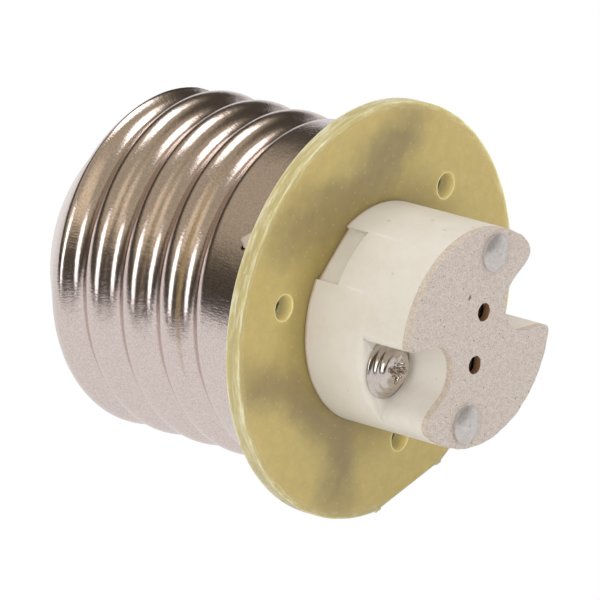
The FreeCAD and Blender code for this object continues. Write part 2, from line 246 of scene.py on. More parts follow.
def spun(outline: list[Vector], steps: int) -> bmesh.types.BMesh:
    """Turn an outline in the XZ plane once about Z and weld it.

    Args:
        outline: its points in order.
        steps: how many steps the turn has.

    Returns:
        The mesh.
    """
    bm = bmesh.new()
    verts = [bm.verts.new(point) for point in outline]
    edges = [bm.edges.new(two) for two in zip(verts, verts[1:])]
    bmesh.ops.spin(bm, geom=verts + edges, cent=(0, 0, 0), axis=(0, 0, 1),
                   angle=2 * math.pi, steps=steps, use_merge=True)
    bmesh.ops.remove_doubles(bm, verts=bm.verts, dist=WELD)
    return bm


def absorb(bm: bmesh.types.BMesh, other: bmesh.types.BMesh) -> None:
    """Add another mesh to this one.

    Args:
        bm: the mesh that grows.
        other: the mesh it takes in, which is freed here.
    """
    carrier = bpy.data.meshes.new("carrier")
    other.to_mesh(carrier)
    other.free()
    bm.from_mesh(carrier)
    bpy.data.meshes.remove(carrier)


@dataclass(frozen=True)
class Finish:
    """A surface finish.

    Attributes:
        name: what the real material is and how its surface was made.
        colour: sRGB hex code.
        roughness: of the bare surface.
        metallic: 1 for a metal.
    """

    name: str
    colour: str
    roughness: float
    metallic: float = 0.0

    def start(self) -> tuple[bpy.types.Material, bpy.types.NodeTree, bpy.types.Node]:
        """Make the material with its surface shader.

        Returns:
            The material, its tree and the surface shader.
        """
        material = bpy.data.materials.new(self.name)
        material.use_nodes = True
        tree = material.node_tree
        tree.nodes.clear()
        shader = add_node(tree, "ShaderNodeBsdfPrincipled", None, {
            "Base Color": linear(self.colour), "Roughness": self.roughness,
            "Metallic": self.metallic})
        add_node(tree, "ShaderNodeOutputMaterial", None, {"Surface": shader.outputs["BSDF"]})
        return material, tree, shader

    def build(self, frame: PartFrame) -> bpy.types.Material:
        """Make the plain finish.

        Args:
            frame: the part's frame, for patterns.

        Returns:
            The material.
        """
        material, _, _ = self.start()
        return material


@dataclass(frozen=True)
class Specks:
    """Small round specks scattered over a surface.

    Attributes:
        spacing_mm: how far they stand apart.
        core: radius of a speck's full tone, as a share of the spacing.
        fade: radius at which the speck ends, as a share of the spacing.
        amount: how strongly they show.
        through: True where each speck runs through the piece along the part's upright.
    """

    spacing_mm: float
    core: float
    fade: float
    amount: float
    through: bool = False

    def build(self, tree: bpy.types.NodeTree, where: Socket) -> Socket:
        """Add the pattern's nodes.

        Args:
            tree: the material's node tree.
            where: the surface point in millimetres about the axis.

        Returns:
            How much speck there is at the point.
        """
        cells = add_node(tree, "ShaderNodeTexVoronoi", {
            "voronoi_dimensions": "2D" if self.through else "3D"}, {
            "Vector": where, "Scale": 1 / self.spacing_mm, "Randomness": 1.0})
        return add_node(tree, "ShaderNodeMapRange", None, {
            "Value": cells.outputs["Distance"], "From Min": self.core, "From Max": self.fade,
            "To Min": self.amount, "To Max": 0.0}).outputs["Result"]


@dataclass(frozen=True)
class NickelPlate(Finish):
    """Bright nickel over drawn and rolled brass sheet.

    It mirrors the room. A satin grain and the fine chatter marks of the rolling, which cross
    the thread, break its reflections up. The plate has small pits.

    Attributes:
        dull: sRGB hex code of the grain's low spots.
        pit: sRGB hex code of the pits.
        pits: each pit's angle, height and radius.
        grain_mm: size of the grain, coarser than the real one so that it shows.
        chatter_mm: spacing of the chatter marks, also drawn coarser than they are.
        chatter_per_mm: how often a mark ends along the axis.
        wave_mm: size of the soft waves in the sheet.
        sleeve_radius: the radius at which the marks' spacing holds.
    """

    dull: str = "d2c3bc"
    pit: str = "2a211b"
    pits: tuple[tuple[float, float, float], ...] = ((172.0, -3.65, 0.2), (251.0, -6.95, 0.16))
    grain_mm: float = 0.14
    chatter_mm: float = 0.16
    chatter_per_mm: float = 0.9
    wave_mm: float = 1.4
    sleeve_radius: float = 13.0

    def build(self, frame: PartFrame) -> bpy.types.Material:
        """Make the plate.

        Args:
            frame: the part's frame.

        Returns:
            The material.
        """
        material, tree, shader = self.start()
        where = frame.mapping(tree)
        grain = add_node(tree, "ShaderNodeTexNoise", None, {
            "Vector": where, "Scale": 1 / self.grain_mm, "Detail": 3.0, "Roughness": 0.7})
        relief = self.relief(tree, where, grain.outputs["Fac"])
        tree.links.new(relief, shader.inputs["Normal"])
        bright = add_node(tree, "ShaderNodeMapRange", None, {
            "Value": grain.outputs["Fac"], "From Min": 0.36, "From Max": 0.6})
        plate = add_node(tree, "ShaderNodeMix", {"data_type": "RGBA"}, {
            0: bright.outputs["Result"], 6: linear(self.dull), 7: linear(self.colour)})
        tone = add_node(tree, "ShaderNodeMix", {"data_type": "RGBA"}, {
            0: self.unpitted(tree, where), 6: linear(self.pit), 7: plate.outputs[2]})
        tree.links.new(tone.outputs[2], shader.inputs["Base Color"])
        return material

    def relief(self, tree: bpy.types.NodeTree, where: Socket, grain: Socket) -> Socket:
        """Lay the grain, the chatter marks and the sheet's waves over each other.

        Args:
            tree: the material's node tree.
            where: the surface point in millimetres about the axis.
            grain: the grain's height.

        Returns:
            The surface's direction.
        """
        parts = add_node(tree, "ShaderNodeSeparateXYZ", None, {"Vector": where})
        turn = add_node(tree, "ShaderNodeMath", {"operation": "ARCTAN2"}, {
            0: parts.outputs["Y"], 1: parts.outputs["X"]})
        girth = add_node(tree, "ShaderNodeMath", {"operation": "MULTIPLY"}, {
            0: turn.outputs[0], 1: self.sleeve_radius})
        rolled = add_node(tree, "ShaderNodeCombineXYZ", None, {
            "X": girth.outputs[0], "Y": parts.outputs["Z"], "Z": 0.0})
        stretch = add_node(tree, "ShaderNodeVectorMath", {"operation": "MULTIPLY"}, {
            0: rolled.outputs["Vector"], 1: (1 / self.chatter_mm, self.chatter_per_mm, 0.0)})
        chatter = add_node(tree, "ShaderNodeTexNoise", {"noise_dimensions": "2D"}, {
            "Vector": stretch.outputs["Vector"], "Scale": 1.0, "Detail": 2.0, "Roughness": 0.6})
        wave = add_node(tree, "ShaderNodeTexNoise", None, {
            "Vector": where, "Scale": 1 / self.wave_mm, "Detail": 2.0})
        satin = add_node(tree, "ShaderNodeBump", None, {
            "Height": grain, "Strength": 0.7, "Distance": 0.016 * MM})
        marked = add_node(tree, "ShaderNodeBump", None, {
            "Height": chatter.outputs["Fac"], "Strength": 0.35, "Distance": 0.02 * MM,
            "Normal": satin.outputs["Normal"]})
        return add_node(tree, "ShaderNodeBump", None, {
            "Height": wave.outputs["Fac"], "Strength": 0.25, "Distance": 0.1 * MM,
            "Normal": marked.outputs["Normal"]}).outputs["Normal"]

    def unpitted(self, tree: bpy.types.NodeTree, where: Socket) -> Socket | float:
        """Find where the plate is whole.

        Args:
            tree: the material's node tree.
            where: the surface point in millimetres about the axis.

        Returns:
            0 in a pit and 1 away from the pits.
        """
        whole: Socket | float = 1.0
        for angle, z, radius in self.pits:
            far = add_node(tree, "ShaderNodeVectorMath", {"operation": "DISTANCE"}, {
                0: where, 1: around(CREST_RADIUS, angle, z)})
            beyond = add_node(tree, "ShaderNodeMapRange", None, {
                "Value": far.outputs["Value"], "From Min": radius * 0.7,
                "From Max": radius * 1.2})
            whole = add_node(tree, "ShaderNodeMath", {"operation": "MULTIPLY"}, {
                0: beyond.outputs["Result"], 1: whole}).outputs[0]
        return whole


@dataclass(frozen=True)
class ShadePatch:
    """A soft oval patch of painted shade on the board's face, where the unlit inside of the cap
    behind it shows through.

    Attributes:
        x, y: its middle, in millimetres about the axis.
        length, width: its half sizes.
        turn: direction of its length, in degrees.
    """

    x: float
    y: float
    length: float
    width: float
    turn: float


@dataclass(frozen=True)
class GlassFibreBoard(Finish):
    """Bare epoxy board reinforced with woven glass, drilled and snapped from a panel.

    It is milky, yellow-green and a little glossy, and light passes through it. Its rim shows
    pale torn fibres.

    Attributes:
        shade: sRGB hex code of the painted shade in the patches.
        near: sRGB hex code of the painted shade on the resin around the socket, where the cap's
            unlit inside lies behind the board.
        rim: sRGB hex code of the rim.
        torn: sRGB hex code of the rim's torn fibres.
        fibre_end: sRGB hex code of the specks.
        bore: sRGB hex code of the vents' walls, lightened as painted light.
        bore_light: strength of the painted glow on the vents' walls, which stands in for light
            that the resin passes into them.
        near_reach: the radii where that painted shade around the socket starts and stops to
            fade.
        rim_start: radius at which the rim's tone starts.
        rim_fade: width in which it gets to its full tone.
        drift_mm: size of the bends in the outlines of the painted shade patches.
        drift: how far the outlines bend.
        mottle_mm: size of the resin's uneven tone.
        fibre_mm: size of the woven fibres.
        specks: ends of single fibres near the face.
        shade_patches: painted shade, dark patches where the unlit inside of the cap shows
            through the board.
    """

    shade: str = "98865c"
    near: str = "a18e50"
    rim: str = "b7ab7c"
    torn: str = "dcd8bf"
    fibre_end: str = "d8d2b0"
    bore: str = "cfc189"
    bore_light: float = 0.22
    near_reach: tuple[float, float] = (8.0, 12.5)
    rim_start: float = 15.6
    rim_fade: float = 0.9
    drift_mm: float = 1 / 0.22
    drift: float = 5.0
    mottle_mm: float = 1 / 1.1
    fibre_mm: float = 1 / 2.6
    specks: Specks = Specks(1.25, 0.02, 0.08, 0.35, True)
    shade_patches: tuple[ShadePatch, ...] = (
        ShadePatch(-2.6, 13.6, 5.6, 3.6, 80.0),
        ShadePatch(-5.8, 9.2, 6.4, 3.8, 48.0),
        ShadePatch(-11.4, 4.6, 7.4, 4.0, 20.0),
        ShadePatch(-10.7, -7.6, 7.0, 3.2, -6.0),
        ShadePatch(-3.6, -8.8, 6.6, 3.4, -14.0),
        ShadePatch(0.8, -12.4, 6.8, 3.4, 100.0),
    )

    def build(self, frame: PartFrame) -> bpy.types.Material:
        """Make the board's finish.

        Args:
            frame: the part's frame.

        Returns:
            The material.
        """
        material, tree, shader = self.start()
        where = frame.mapping(tree)
        parts = add_node(tree, "ShaderNodeSeparateXYZ", None, {"Vector": where})
        flat = add_node(tree, "ShaderNodeCombineXYZ", None, {
            "X": parts.outputs["X"], "Y": parts.outputs["Y"], "Z": 0.0})
        out = add_node(tree, "ShaderNodeVectorMath", {"operation": "LENGTH"}, {
            0: flat.outputs["Vector"]})
        fibres = add_node(tree, "ShaderNodeTexNoise", None, {
            "Vector": where, "Scale": 1 / self.fibre_mm, "Detail": 6.0, "Roughness": 0.7})
        ragged = add_node(tree, "ShaderNodeMath", {"operation": "MULTIPLY_ADD"}, {
            0: fibres.outputs["Fac"], 1: 0.9, 2: out.outputs["Value"]})
        at_rim = add_node(tree, "ShaderNodeMapRange", {"interpolation_type": "SMOOTHSTEP"}, {
            "Value": ragged.outputs[0], "From Min": self.rim_start,
            "From Max": self.rim_start + self.rim_fade})
        rimmed = add_node(tree, "ShaderNodeMix", {"data_type": "RGBA"}, {
            0: at_rim.outputs["Result"], 6: self.face_tone(tree, where, out.outputs["Value"]),
            7: self.rim_tone(tree, parts, out.outputs["Value"])})
        dotted = add_node(tree, "ShaderNodeMix", {"data_type": "RGBA"}, {
            0: self.specks.build(tree, where), 6: rimmed.outputs[2],
            7: linear(self.fibre_end)})
        # Painted light: the vents' walls get a lighter colour and a faint glow, standing in for
        # light that the resin passes into them.
        in_vent = self.in_vent(tree, flat.outputs["Vector"])
        bored = add_node(tree, "ShaderNodeMix", {"data_type": "RGBA"}, {
            0: in_vent, 6: dotted.outputs[2], 7: linear(self.bore)})
        tree.links.new(bored.outputs[2], shader.inputs["Base Color"])
        lit = add_node(tree, "ShaderNodeMath", {"operation": "MULTIPLY"}, {
            0: in_vent, 1: self.bore_light})
        tree.links.new(lit.outputs[0], shader.inputs["Emission Strength"])
        shader.inputs["Emission Color"].default_value = linear(self.bore)
        shader.inputs["Subsurface Weight"].default_value = 0.9
        shader.inputs["Subsurface Radius"].default_value = (1.0, 0.9, 0.55)
        shader.inputs["Subsurface Scale"].default_value = 1.6 * MM
        bump = add_node(tree, "ShaderNodeBump", None, {
            "Height": fibres.outputs["Fac"], "Strength": 0.3, "Distance": 0.1 * MM})
        tree.links.new(bump.outputs["Normal"], shader.inputs["Normal"])
        return material

    def painted_shade(self, tree: bpy.types.NodeTree, where: Socket) -> Socket:
        """Add the painted shade patches, with outlines that wander.

        Args:
            tree: the material's node tree.
            where: the surface point in millimetres about the axis.

        Returns:
            0 on clear resin and 1 where the painted shade is darkest.
        """
        bend = add_node(tree, "ShaderNodeTexNoise", None, {
            "Vector": where, "Scale": 1 / self.drift_mm, "Detail": 3.0, "Roughness": 0.55})
        spread = add_node(tree, "ShaderNodeVectorMath", {"operation": "MULTIPLY_ADD"}, {
            0: bend.outputs["Color"], 1: (self.drift, self.drift, 0.0), 2: where})
        centred = add_node(tree, "ShaderNodeVectorMath", {"operation": "SUBTRACT"}, {
            0: spread.outputs["Vector"], 1: (self.drift / 2, self.drift / 2, 0.0)})
        dark: Socket | float = 0.0
        for shade_patch in self.shade_patches:
            oval = add_node(tree, "ShaderNodeMapping", {"vector_type": "TEXTURE"}, {
                "Vector": centred.outputs["Vector"], "Location": (shade_patch.x, shade_patch.y, 0),
                "Rotation": (0, 0, math.radians(shade_patch.turn)),
                "Scale": (shade_patch.length, shade_patch.width, 100)})
            glow = add_node(tree, "ShaderNodeTexGradient", {"gradient_type": "SPHERICAL"}, {
                "Vector": oval.outputs["Vector"]})
            dark = add_node(tree, "ShaderNodeMath", {"operation": "ADD", "use_clamp": True}, {
                0: glow.outputs["Fac"], 1: dark}).outputs[0]
        return add_node(tree, "ShaderNodeMapRange", {"interpolation_type": "SMOOTHSTEP"}, {
            "Value": dark, "From Min": -0.1, "From Max": 1.3}).outputs["Result"]

    def face_tone(self, tree: bpy.types.NodeTree, where: Socket, out: Socket) -> Socket:
        """Colour the resin, with painted shade around the socket and in patches, and its uneven
        tone.

        Args:
            tree: the material's node tree.
            where: the surface point in millimetres about the axis.
            out: its distance from the axis.

        Returns:
            The colour.
        """
        # Painted shade: the resin is darker around the socket, over the cap's unlit inside.
        start, stop = self.near_reach
        inner = add_node(tree, "ShaderNodeMapRange", {"interpolation_type": "SMOOTHSTEP"}, {
            "Value": out, "From Min": start, "From Max": stop, "To Min": 0.9, "To Max": 0.0})
        resin = add_node(tree, "ShaderNodeMix", {"data_type": "RGBA"}, {
            0: inner.outputs["Result"], 6: linear(self.colour), 7: linear(self.near)})
        # Painted shade: the resin darkens in patches where the cap's unlit inside shows
        # through.
        shaded = add_node(tree, "ShaderNodeMix", {"data_type": "RGBA"}, {
            0: self.painted_shade(tree, where), 6: resin.outputs[2], 7: linear(self.shade)})
        mottle = add_node(tree, "ShaderNodeTexNoise", None, {
            "Vector": where, "Scale": 1 / self.mottle_mm, "Detail": 5.0, "Roughness": 0.65})
        uneven = add_node(tree, "ShaderNodeMapRange", None, {
            "Value": mottle.outputs["Fac"], "From Min": 0.3, "From Max": 0.7,
            "To Min": 0.93, "To Max": 1.05})
        return add_node(tree, "ShaderNodeVectorMath", {"operation": "SCALE"}, {
            0: shaded.outputs[2], "Scale": uneven.outputs["Result"]}).outputs["Vector"]

    def rim_tone(self, tree: bpy.types.NodeTree, parts: bpy.types.Node, out: Socket) -> Socket:
        """Colour the rim, with torn fibres that run along it.

        Args:
            tree: the material's node tree.
            parts: the node with the surface point's coordinates about the axis.
            out: the point's distance from the axis.

        Returns:
            The colour.
        """
        turn = add_node(tree, "ShaderNodeMath", {"operation": "ARCTAN2"}, {
            0: parts.outputs["Y"], 1: parts.outputs["X"]})
        along = add_node(tree, "ShaderNodeCombineXYZ", None, {
            "X": turn.outputs[0], "Y": out, "Z": parts.outputs["Z"]})
        # A fibre is nine to the radian long, about 1.7 mm, and 0.28 mm thick.
        strand = add_node(tree, "ShaderNodeVectorMath", {"operation": "MULTIPLY"}, {
            0: along.outputs["Vector"], 1: (9.0, 3.6, 3.6)})
        frayed = add_node(tree, "ShaderNodeTexNoise", None, {
            "Vector": strand.outputs["Vector"], "Scale": 1.0, "Detail": 5.0, "Roughness": 0.65})
        loose = add_node(tree, "ShaderNodeMapRange", None, {
            "Value": frayed.outputs["Fac"], "From Min": 0.46, "From Max": 0.68,
            "To Min": 0.0, "To Max": 0.85})
        return add_node(tree, "ShaderNodeMix", {"data_type": "RGBA"}, {
            0: loose.outputs["Result"], 6: linear(self.rim), 7: linear(self.torn)}).outputs[2]

    def in_vent(self, tree: bpy.types.NodeTree, flat: Socket) -> Socket:
        """Find the walls of the vents.

        Args:
            tree: the material's node tree.
            flat: the surface point about the axis, without its height.

        Returns:
            1 on a vent's wall and 0 elsewhere.
        """
        gap: Socket | float = 100.0
        for angle in VENT_ANGLES:
            far = add_node(tree, "ShaderNodeVectorMath", {"operation": "DISTANCE"}, {
                0: flat, 1: around(VENT_CIRCLE, angle)})
            gap = add_node(tree, "ShaderNodeMath", {"operation": "MINIMUM"}, {
                0: far.outputs["Value"], 1: gap}).outputs[0]
        return add_node(tree, "ShaderNodeMapRange", None, {
            "Value": gap, "From Min": VENT_RADIUS + 0.02, "From Max": VENT_RADIUS + 0.12,
            "To Min": 1.0, "To Max": 0.0}).outputs["Result"]


@dataclass(frozen=True)
class Speckled(Finish):
    """A finish with fine grains of a second colour and a slightly rough surface.

    Attributes:
        grain: sRGB hex code of the grains.
        grain_mm: their size.
        amount: how strongly they show.
        relief_mm: height of the surface's roughness.
    """

    grain: str = "a89c92"
    grain_mm: float = 0.3
    amount: float = 0.5
    relief_mm: float = 0.02

    def build(self, frame: PartFrame) -> bpy.types.Material:
        """Make the finish, with grains at two sizes over the base colour.

        Args:
            frame: the part's frame.

        Returns:
            The material.
        """
        material, tree, shader = self.start()
        where = frame.mapping(tree)
        fine = add_node(tree, "ShaderNodeTexNoise", None, {
            "Vector": where, "Scale": 1 / self.grain_mm, "Detail": 4.0, "Roughness": 0.75})
        broad = add_node(tree, "ShaderNodeTexNoise", None, {
            "Vector": where, "Scale": 0.3 / self.grain_mm, "Detail": 3.0, "Roughness": 0.6})
        both = add_node(tree, "ShaderNodeMath", {"operation": "MULTIPLY_ADD"}, {
            0: broad.outputs["Fac"], 1: 0.3, 2: fine.outputs["Fac"]})
        share = add_node(tree, "ShaderNodeMapRange", None, {
            "Value": both.outputs[0], "From Min": 0.55, "From Max": 0.84, "To Min": 0.0,
            "To Max": self.amount})
        tone = add_node(tree, "ShaderNodeMix", {"data_type": "RGBA"}, {
            0: share.outputs["Result"], 6: linear(self.colour), 7: linear(self.grain)})
        marked = self.marks(tree, where, tone.outputs[2])
        tree.links.new(marked, shader.inputs["Base Color"])
        bump = add_node(tree, "ShaderNodeBump", None, {
            "Height": fine.outputs["Fac"], "Strength": 0.6, "Distance": self.relief_mm * MM})
        tree.links.new(bump.outputs["Normal"], shader.inputs["Normal"])
        return material

    def marks(self, tree: bpy.types.NodeTree, where: Socket, tone: Socket) -> Socket:
        """Add marks over the grains; the plain finish has none.

        Args:
            tree: the material's node tree.
            where: the surface point in millimetres about the axis.
            tone: the colour so far.

        Returns:
            The colour with the marks.
        """
        return tone


@dataclass(frozen=True)
class Steatite(Speckled):
    """Pressed and fired steatite without a glaze: dull, chalky and almost white.

    A brownish line of painted shade runs along its foot, where it meets the board, and it has a
    few iron specks.

    Attributes:
        stain_and_shade: sRGB hex code of the painted shade line at the foot and of the iron
            specks.
        line_mm: how far the line's height varies.
        patch_mm: how far apart it varies.
        specks: the iron specks.
    """

    stain_and_shade: str = "a5875f"
    line_mm: float = 0.22
    patch_mm: float = 1 / 0.9
    specks: Specks = Specks(1 / 0.55, 0.03, 0.1, 0.45)

    def marks(self, tree: bpy.types.NodeTree, where: Socket, tone: Socket) -> Socket:
        """Add the painted shade line at the foot and the iron specks.

        Args:
            tree: the material's node tree.
            where: the surface point in millimetres about the axis.
            tone: the colour so far.

        Returns:
            The colour with the marks.
        """
        # Painted shade: a brownish line at the foot, where the body meets the board.
        parts = add_node(tree, "ShaderNodeSeparateXYZ", None, {"Vector": where})
        patchy = add_node(tree, "ShaderNodeTexNoise", None, {
            "Vector": where, "Scale": 1 / self.patch_mm, "Detail": 3.0})
        height = add_node(tree, "ShaderNodeMath", {"operation": "MULTIPLY_ADD"}, {
            0: patchy.outputs["Fac"], 1: -self.line_mm, 2: parts.outputs["Z"]})
        line = add_node(tree, "ShaderNodeMapRange", {"interpolation_type": "SMOOTHSTEP"}, {
            "Value": height.outputs[0], "From Min": -0.05, "From Max": 0.16,
            "To Min": 0.75, "To Max": 0.0})
        amount = add_node(tree, "ShaderNodeMath", {"operation": "MAXIMUM"}, {
            0: line.outputs["Result"], 1: self.specks.build(tree, where)})
        return add_node(tree, "ShaderNodeMix", {"data_type": "RGBA"}, {
            0: amount.outputs[0], 6: tone, 7: linear(self.stain_and_shade)}).outputs[2]


@dataclass(frozen=True)
class PressedMica(Speckled):
    """Sheet pressed from mica flakes: matt, warm grey and mottled, with dark flecks.

    Attributes:
        fleck: sRGB hex code of the flecks and of the chipped spot.
        flecks: the dark flecks.
        chip: the middle of the one chipped spot, about the axis.
        chip_edge: the radii where its tone starts and stops to fade.
        chip_mm: size of the waves in its outline.
    """

    fleck: str = "62564e"
    flecks: Specks = Specks(1 / 1.4, 0.05, 0.14, 0.7)
    chip: tuple[float, float, float] = (-2.5, 2.7, BODY_HEIGHT + COVER_THICKNESS)
    chip_edge: tuple[float, float] = (0.28, 0.38)
    chip_mm: float = 0.25

    def marks(self, tree: bpy.types.NodeTree, where: Socket, tone: Socket) -> Socket:
        """Add the flecks and the chipped spot.

        Args:
            tree: the material's node tree.
            where: the surface point in millimetres about the axis.
            tone: the colour so far.

        Returns:
            The colour with the marks.
        """
        wobble = add_node(tree, "ShaderNodeTexNoise", None, {
            "Vector": where, "Scale": 1 / self.chip_mm, "Detail": 2.0})
        far = add_node(tree, "ShaderNodeVectorMath", {"operation": "DISTANCE"}, {
            0: where, 1: self.chip})
        ragged = add_node(tree, "ShaderNodeMath", {"operation": "MULTIPLY_ADD"}, {
            0: wobble.outputs["Fac"], 1: 0.35, 2: far.outputs["Value"]})
        chipped = add_node(tree, "ShaderNodeMapRange", None, {
            "Value": ragged.outputs[0], "From Min": self.chip_edge[0],
            "From Max": self.chip_edge[1], "To Min": 0.8, "To Max": 0.0})
        amount = add_node(tree, "ShaderNodeMath", {"operation": "MAXIMUM"}, {
            0: chipped.outputs["Result"], 1: self.flecks.build(tree, where)})
        return add_node(tree, "ShaderNodeMix", {"data_type": "RGBA"}, {
            0: amount.outputs[0], 6: tone, 7: linear(self.fleck)}).outputs[2]


@dataclass(frozen=True)
class Softbox:
    """A square area light that faces the part.

    Attributes:
        name: the light's name.
        azimuth: direction it stands in, from +X towards +Y, in degrees.
        elevation: its height above the floor, in degrees.
        wide: its width seen from the part, in degrees.
        tall: its height seen from the part, in degrees.
        radiance: brightness of its face, where 1 is a white surface.
        distance: from the part, in metres.
    """

    name: str
    azimuth: float
    elevation: float
    wide: float
    tall: float
    radiance: float
    distance: float = 0.6

    def build(self, target: Vector) -> None:
        """Place the light.

        Args:
            target: the point it faces.
        """
        way = direction(self.azimuth, self.elevation)
        light = bpy.data.lights.new(self.name, "AREA")
        light.shape = "RECTANGLE"
        light.size = 2 * self.distance * math.tan(math.radians(self.wide / 2))
        light.size_y = 2 * self.distance * math.tan(math.radians(self.tall / 2))
        light.energy = self.radiance * math.pi * light.size * light.size_y
        made = bpy.data.objects.new(self.name, light)
        made.location = target + way * self.distance
        made.rotation_mode = "QUATERNION"
        made.rotation_quaternion = way.to_track_quat("Z", "Y")
        bpy.context.scene.collection.objects.link(made)


@dataclass(frozen=True)
class Studio:
    """A pale floor, soft lights and the camera of the product picture.

    Attributes:
        softboxes: the lights.
        light_target: the height that they face, in metres.
        tent: colour of the even light around the part.
        room: the dim warm room that the metal mirrors, as height and colour pairs.
        patch_azimuth: direction of the room's one bright patch, from +X towards +Y, in degrees.
        patch_elevation: the patch's height above the floor, in degrees.
        patch_reach: half its width with and without its soft edge, in degrees.
        patch: its colour.
        floor: the floor's colour in the light it sends to the part.
        floor_in_metal: the floor's brightness in the metal.
        floor_size: half the floor's width, in metres.
        lens_mm, sensor_mm: the camera's lens and sensor.
        camera_azimuth: direction it stands in, from -Y towards +X, in degrees.
        camera_elevation: its height above the floor, in degrees.
        camera_roll: its turn about its view, in degrees.
        camera_distance: from the point that it faces, in metres.
        camera_target: that point, in millimetres.
    """

    softboxes: tuple[Softbox, ...] = (
        Softbox("softbox_front", -76.0, 29.0, 25.0, 40.0, 2.5),
        Softbox("softbox_back", 108.0, 57.0, 38.0, 32.0, 2.2),
    )
    light_target: float = 0.015
    tent: tuple[float, float, float, float] = (0.86, 0.86, 0.8342, 1.0)
    room: tuple[tuple[float, tuple[float, float, float, float]], ...] = (
        (0.0, (0.085, 0.062, 0.052, 1.0)),
        (0.2, (0.048, 0.042, 0.031, 1.0)),
        (0.44, (0.096, 0.084, 0.062, 1.0)),
        (0.6, (0.48, 0.42, 0.31, 1.0)),
        (0.95, (0.42, 0.37, 0.28, 1.0)),
    )
    patch_azimuth: float = -18.0
    patch_elevation: float = 46.0
    patch_reach: tuple[float, float] = (24.0, 4.0)
    patch: tuple[float, float, float, float] = (0.85, 0.74, 0.54, 1.0)
    floor: tuple[float, float, float, float] = (0.85, 0.85, 0.85, 1.0)
    floor_in_metal: float = 0.86
    floor_size: float = 3.0
    lens_mm: float = 510.0
    sensor_mm: float = 36.0
    camera_azimuth: float = 40.949
    camera_elevation: float = 34.699
    camera_roll: float = -3.877
    camera_distance: float = 0.634292
    camera_target: tuple[float, float, float] = (3.165, -3.224, 16.603)

    def build(self) -> None:
        """Make world, floor, lights and camera."""
        self.add_world()
        self.add_floor()
        for softbox in self.softboxes:
            softbox.build(Vector((0, 0, self.light_target)))
        self.add_camera()

    def mirrored_room(self, tree: bpy.types.NodeTree, way: Socket) -> Socket:
        """Add the room that the metal mirrors.

        Args:
            tree: the world's node tree.
            way: the direction looked in.

        Returns:
            The room's colour in that direction.
        """
        parts = add_node(tree, "ShaderNodeSeparateXYZ", None, {"Vector": way})
        walls = add_node(tree, "ShaderNodeValToRGB", None, {"Fac": parts.outputs["Z"]})
        stops = walls.color_ramp.elements
        for stop, (position, colour) in zip(stops, (self.room[0], self.room[-1])):
            stop.position = position
            stop.color = colour
        for position, colour in self.room[1:-1]:
            stops.new(position).color = colour
        toward = add_node(tree, "ShaderNodeVectorMath", {"operation": "DOT_PRODUCT"}, {
            0: way, 1: direction(self.patch_azimuth, self.patch_elevation)})
        edge, core = (math.cos(math.radians(reach)) for reach in self.patch_reach)
        lit = add_node(tree, "ShaderNodeMapRange", {"interpolation_type": "SMOOTHSTEP"}, {
            "Value": toward.outputs["Value"], "From Min": edge, "From Max": core})
        return add_node(tree, "ShaderNodeMix", {"data_type": "RGBA"}, {
            0: lit.outputs["Result"], 6: walls.outputs["Color"], 7: self.patch}).outputs[2]

    def add_world(self) -> None:
        """An even white tent that the metal sees as a dim warm room, white behind the part."""
        world = bpy.data.worlds.new("tent")
        bpy.context.scene.world = world
        world.use_nodes = True
        tree = world.node_tree
        tree.nodes.clear()
        where = add_node(tree, "ShaderNodeTexCoord")
        seen = add_node(tree, "ShaderNodeLightPath")
        mirrored = add_node(tree, "ShaderNodeMix", {"data_type": "RGBA"}, {
            0: seen.outputs["Is Glossy Ray"], 6: self.tent,
            7: self.mirrored_room(tree, where.outputs["Generated"])})
        shown = add_node(tree, "ShaderNodeMix", {"data_type": "RGBA"}, {
            0: seen.outputs["Is Camera Ray"], 6: mirrored.outputs[2], 7: (1, 1, 1, 1)})
        shade = add_node(tree, "ShaderNodeBackground", None, {"Color": shown.outputs[2]})
        add_node(tree, "ShaderNodeOutputWorld", None, {"Surface": shade.outputs["Background"]})

    def add_floor(self) -> None:
        """A white table: plain white behind the part, a little dimmer in the metal."""
        bm = bmesh.new()
        bmesh.ops.create_grid(bm, x_segments=1, y_segments=1, size=self.floor_size)
        mesh = bpy.data.meshes.new("floor")
        bm.to_mesh(mesh)
        bm.free()
        material = bpy.data.materials.new("white_table")
        material.use_nodes = True
        tree = material.node_tree
        tree.nodes.clear()
        seen = add_node(tree, "ShaderNodeLightPath")
        matt = add_node(tree, "ShaderNodeBsdfDiffuse", None, {"Color": self.floor})
        dimmer = add_node(tree, "ShaderNodeEmission", None, {"Strength": self.floor_in_metal})
        white = add_node(tree, "ShaderNodeEmission", None, {"Strength": 1.0})
        mirrored = add_node(tree, "ShaderNodeMixShader", None, {
            0: seen.outputs["Is Glossy Ray"], 1: matt.outputs["BSDF"],
            2: dimmer.outputs["Emission"]})
        direct = add_node(tree, "ShaderNodeMath", {"operation": "MAXIMUM"}, {
            0: seen.outputs["Is Camera Ray"], 1: seen.outputs["Is Transmission Ray"]})
        shown = add_node(tree, "ShaderNodeMixShader", None, {
            0: direct.outputs[0], 1: mirrored.outputs["Shader"], 2: white.outputs["Emission"]})
        add_node(tree, "ShaderNodeOutputMaterial", None, {"Surface": shown.outputs["Shader"]})
        mesh.materials.append(material)
        made = bpy.data.objects.new("floor", mesh)
        bpy.context.scene.collection.objects.link(made)

    def add_camera(self) -> None:
        """The camera of the picture: a long lens that looks down at the socket's face."""
        back = direction(self.camera_azimuth - 90, self.camera_elevation)
        data = bpy.data.cameras.new("camera")
        data.lens = self.lens_mm
        data.sensor_width = self.sensor_mm
        data.clip_start = 0.05
        made = bpy.data.objects.new("camera", data)
        made.location = Vector(self.camera_target) * MM + back * self.camera_distance
        turn = (-back).to_track_quat("-Z", "Y").to_matrix()
        roll = Matrix.Rotation(math.radians(self.camera_roll), 3, "Z")
        made.rotation_euler = (turn @ roll).to_euler()
        bpy.context.scene.collection.objects.link(made)
        bpy.context.scene.camera = made


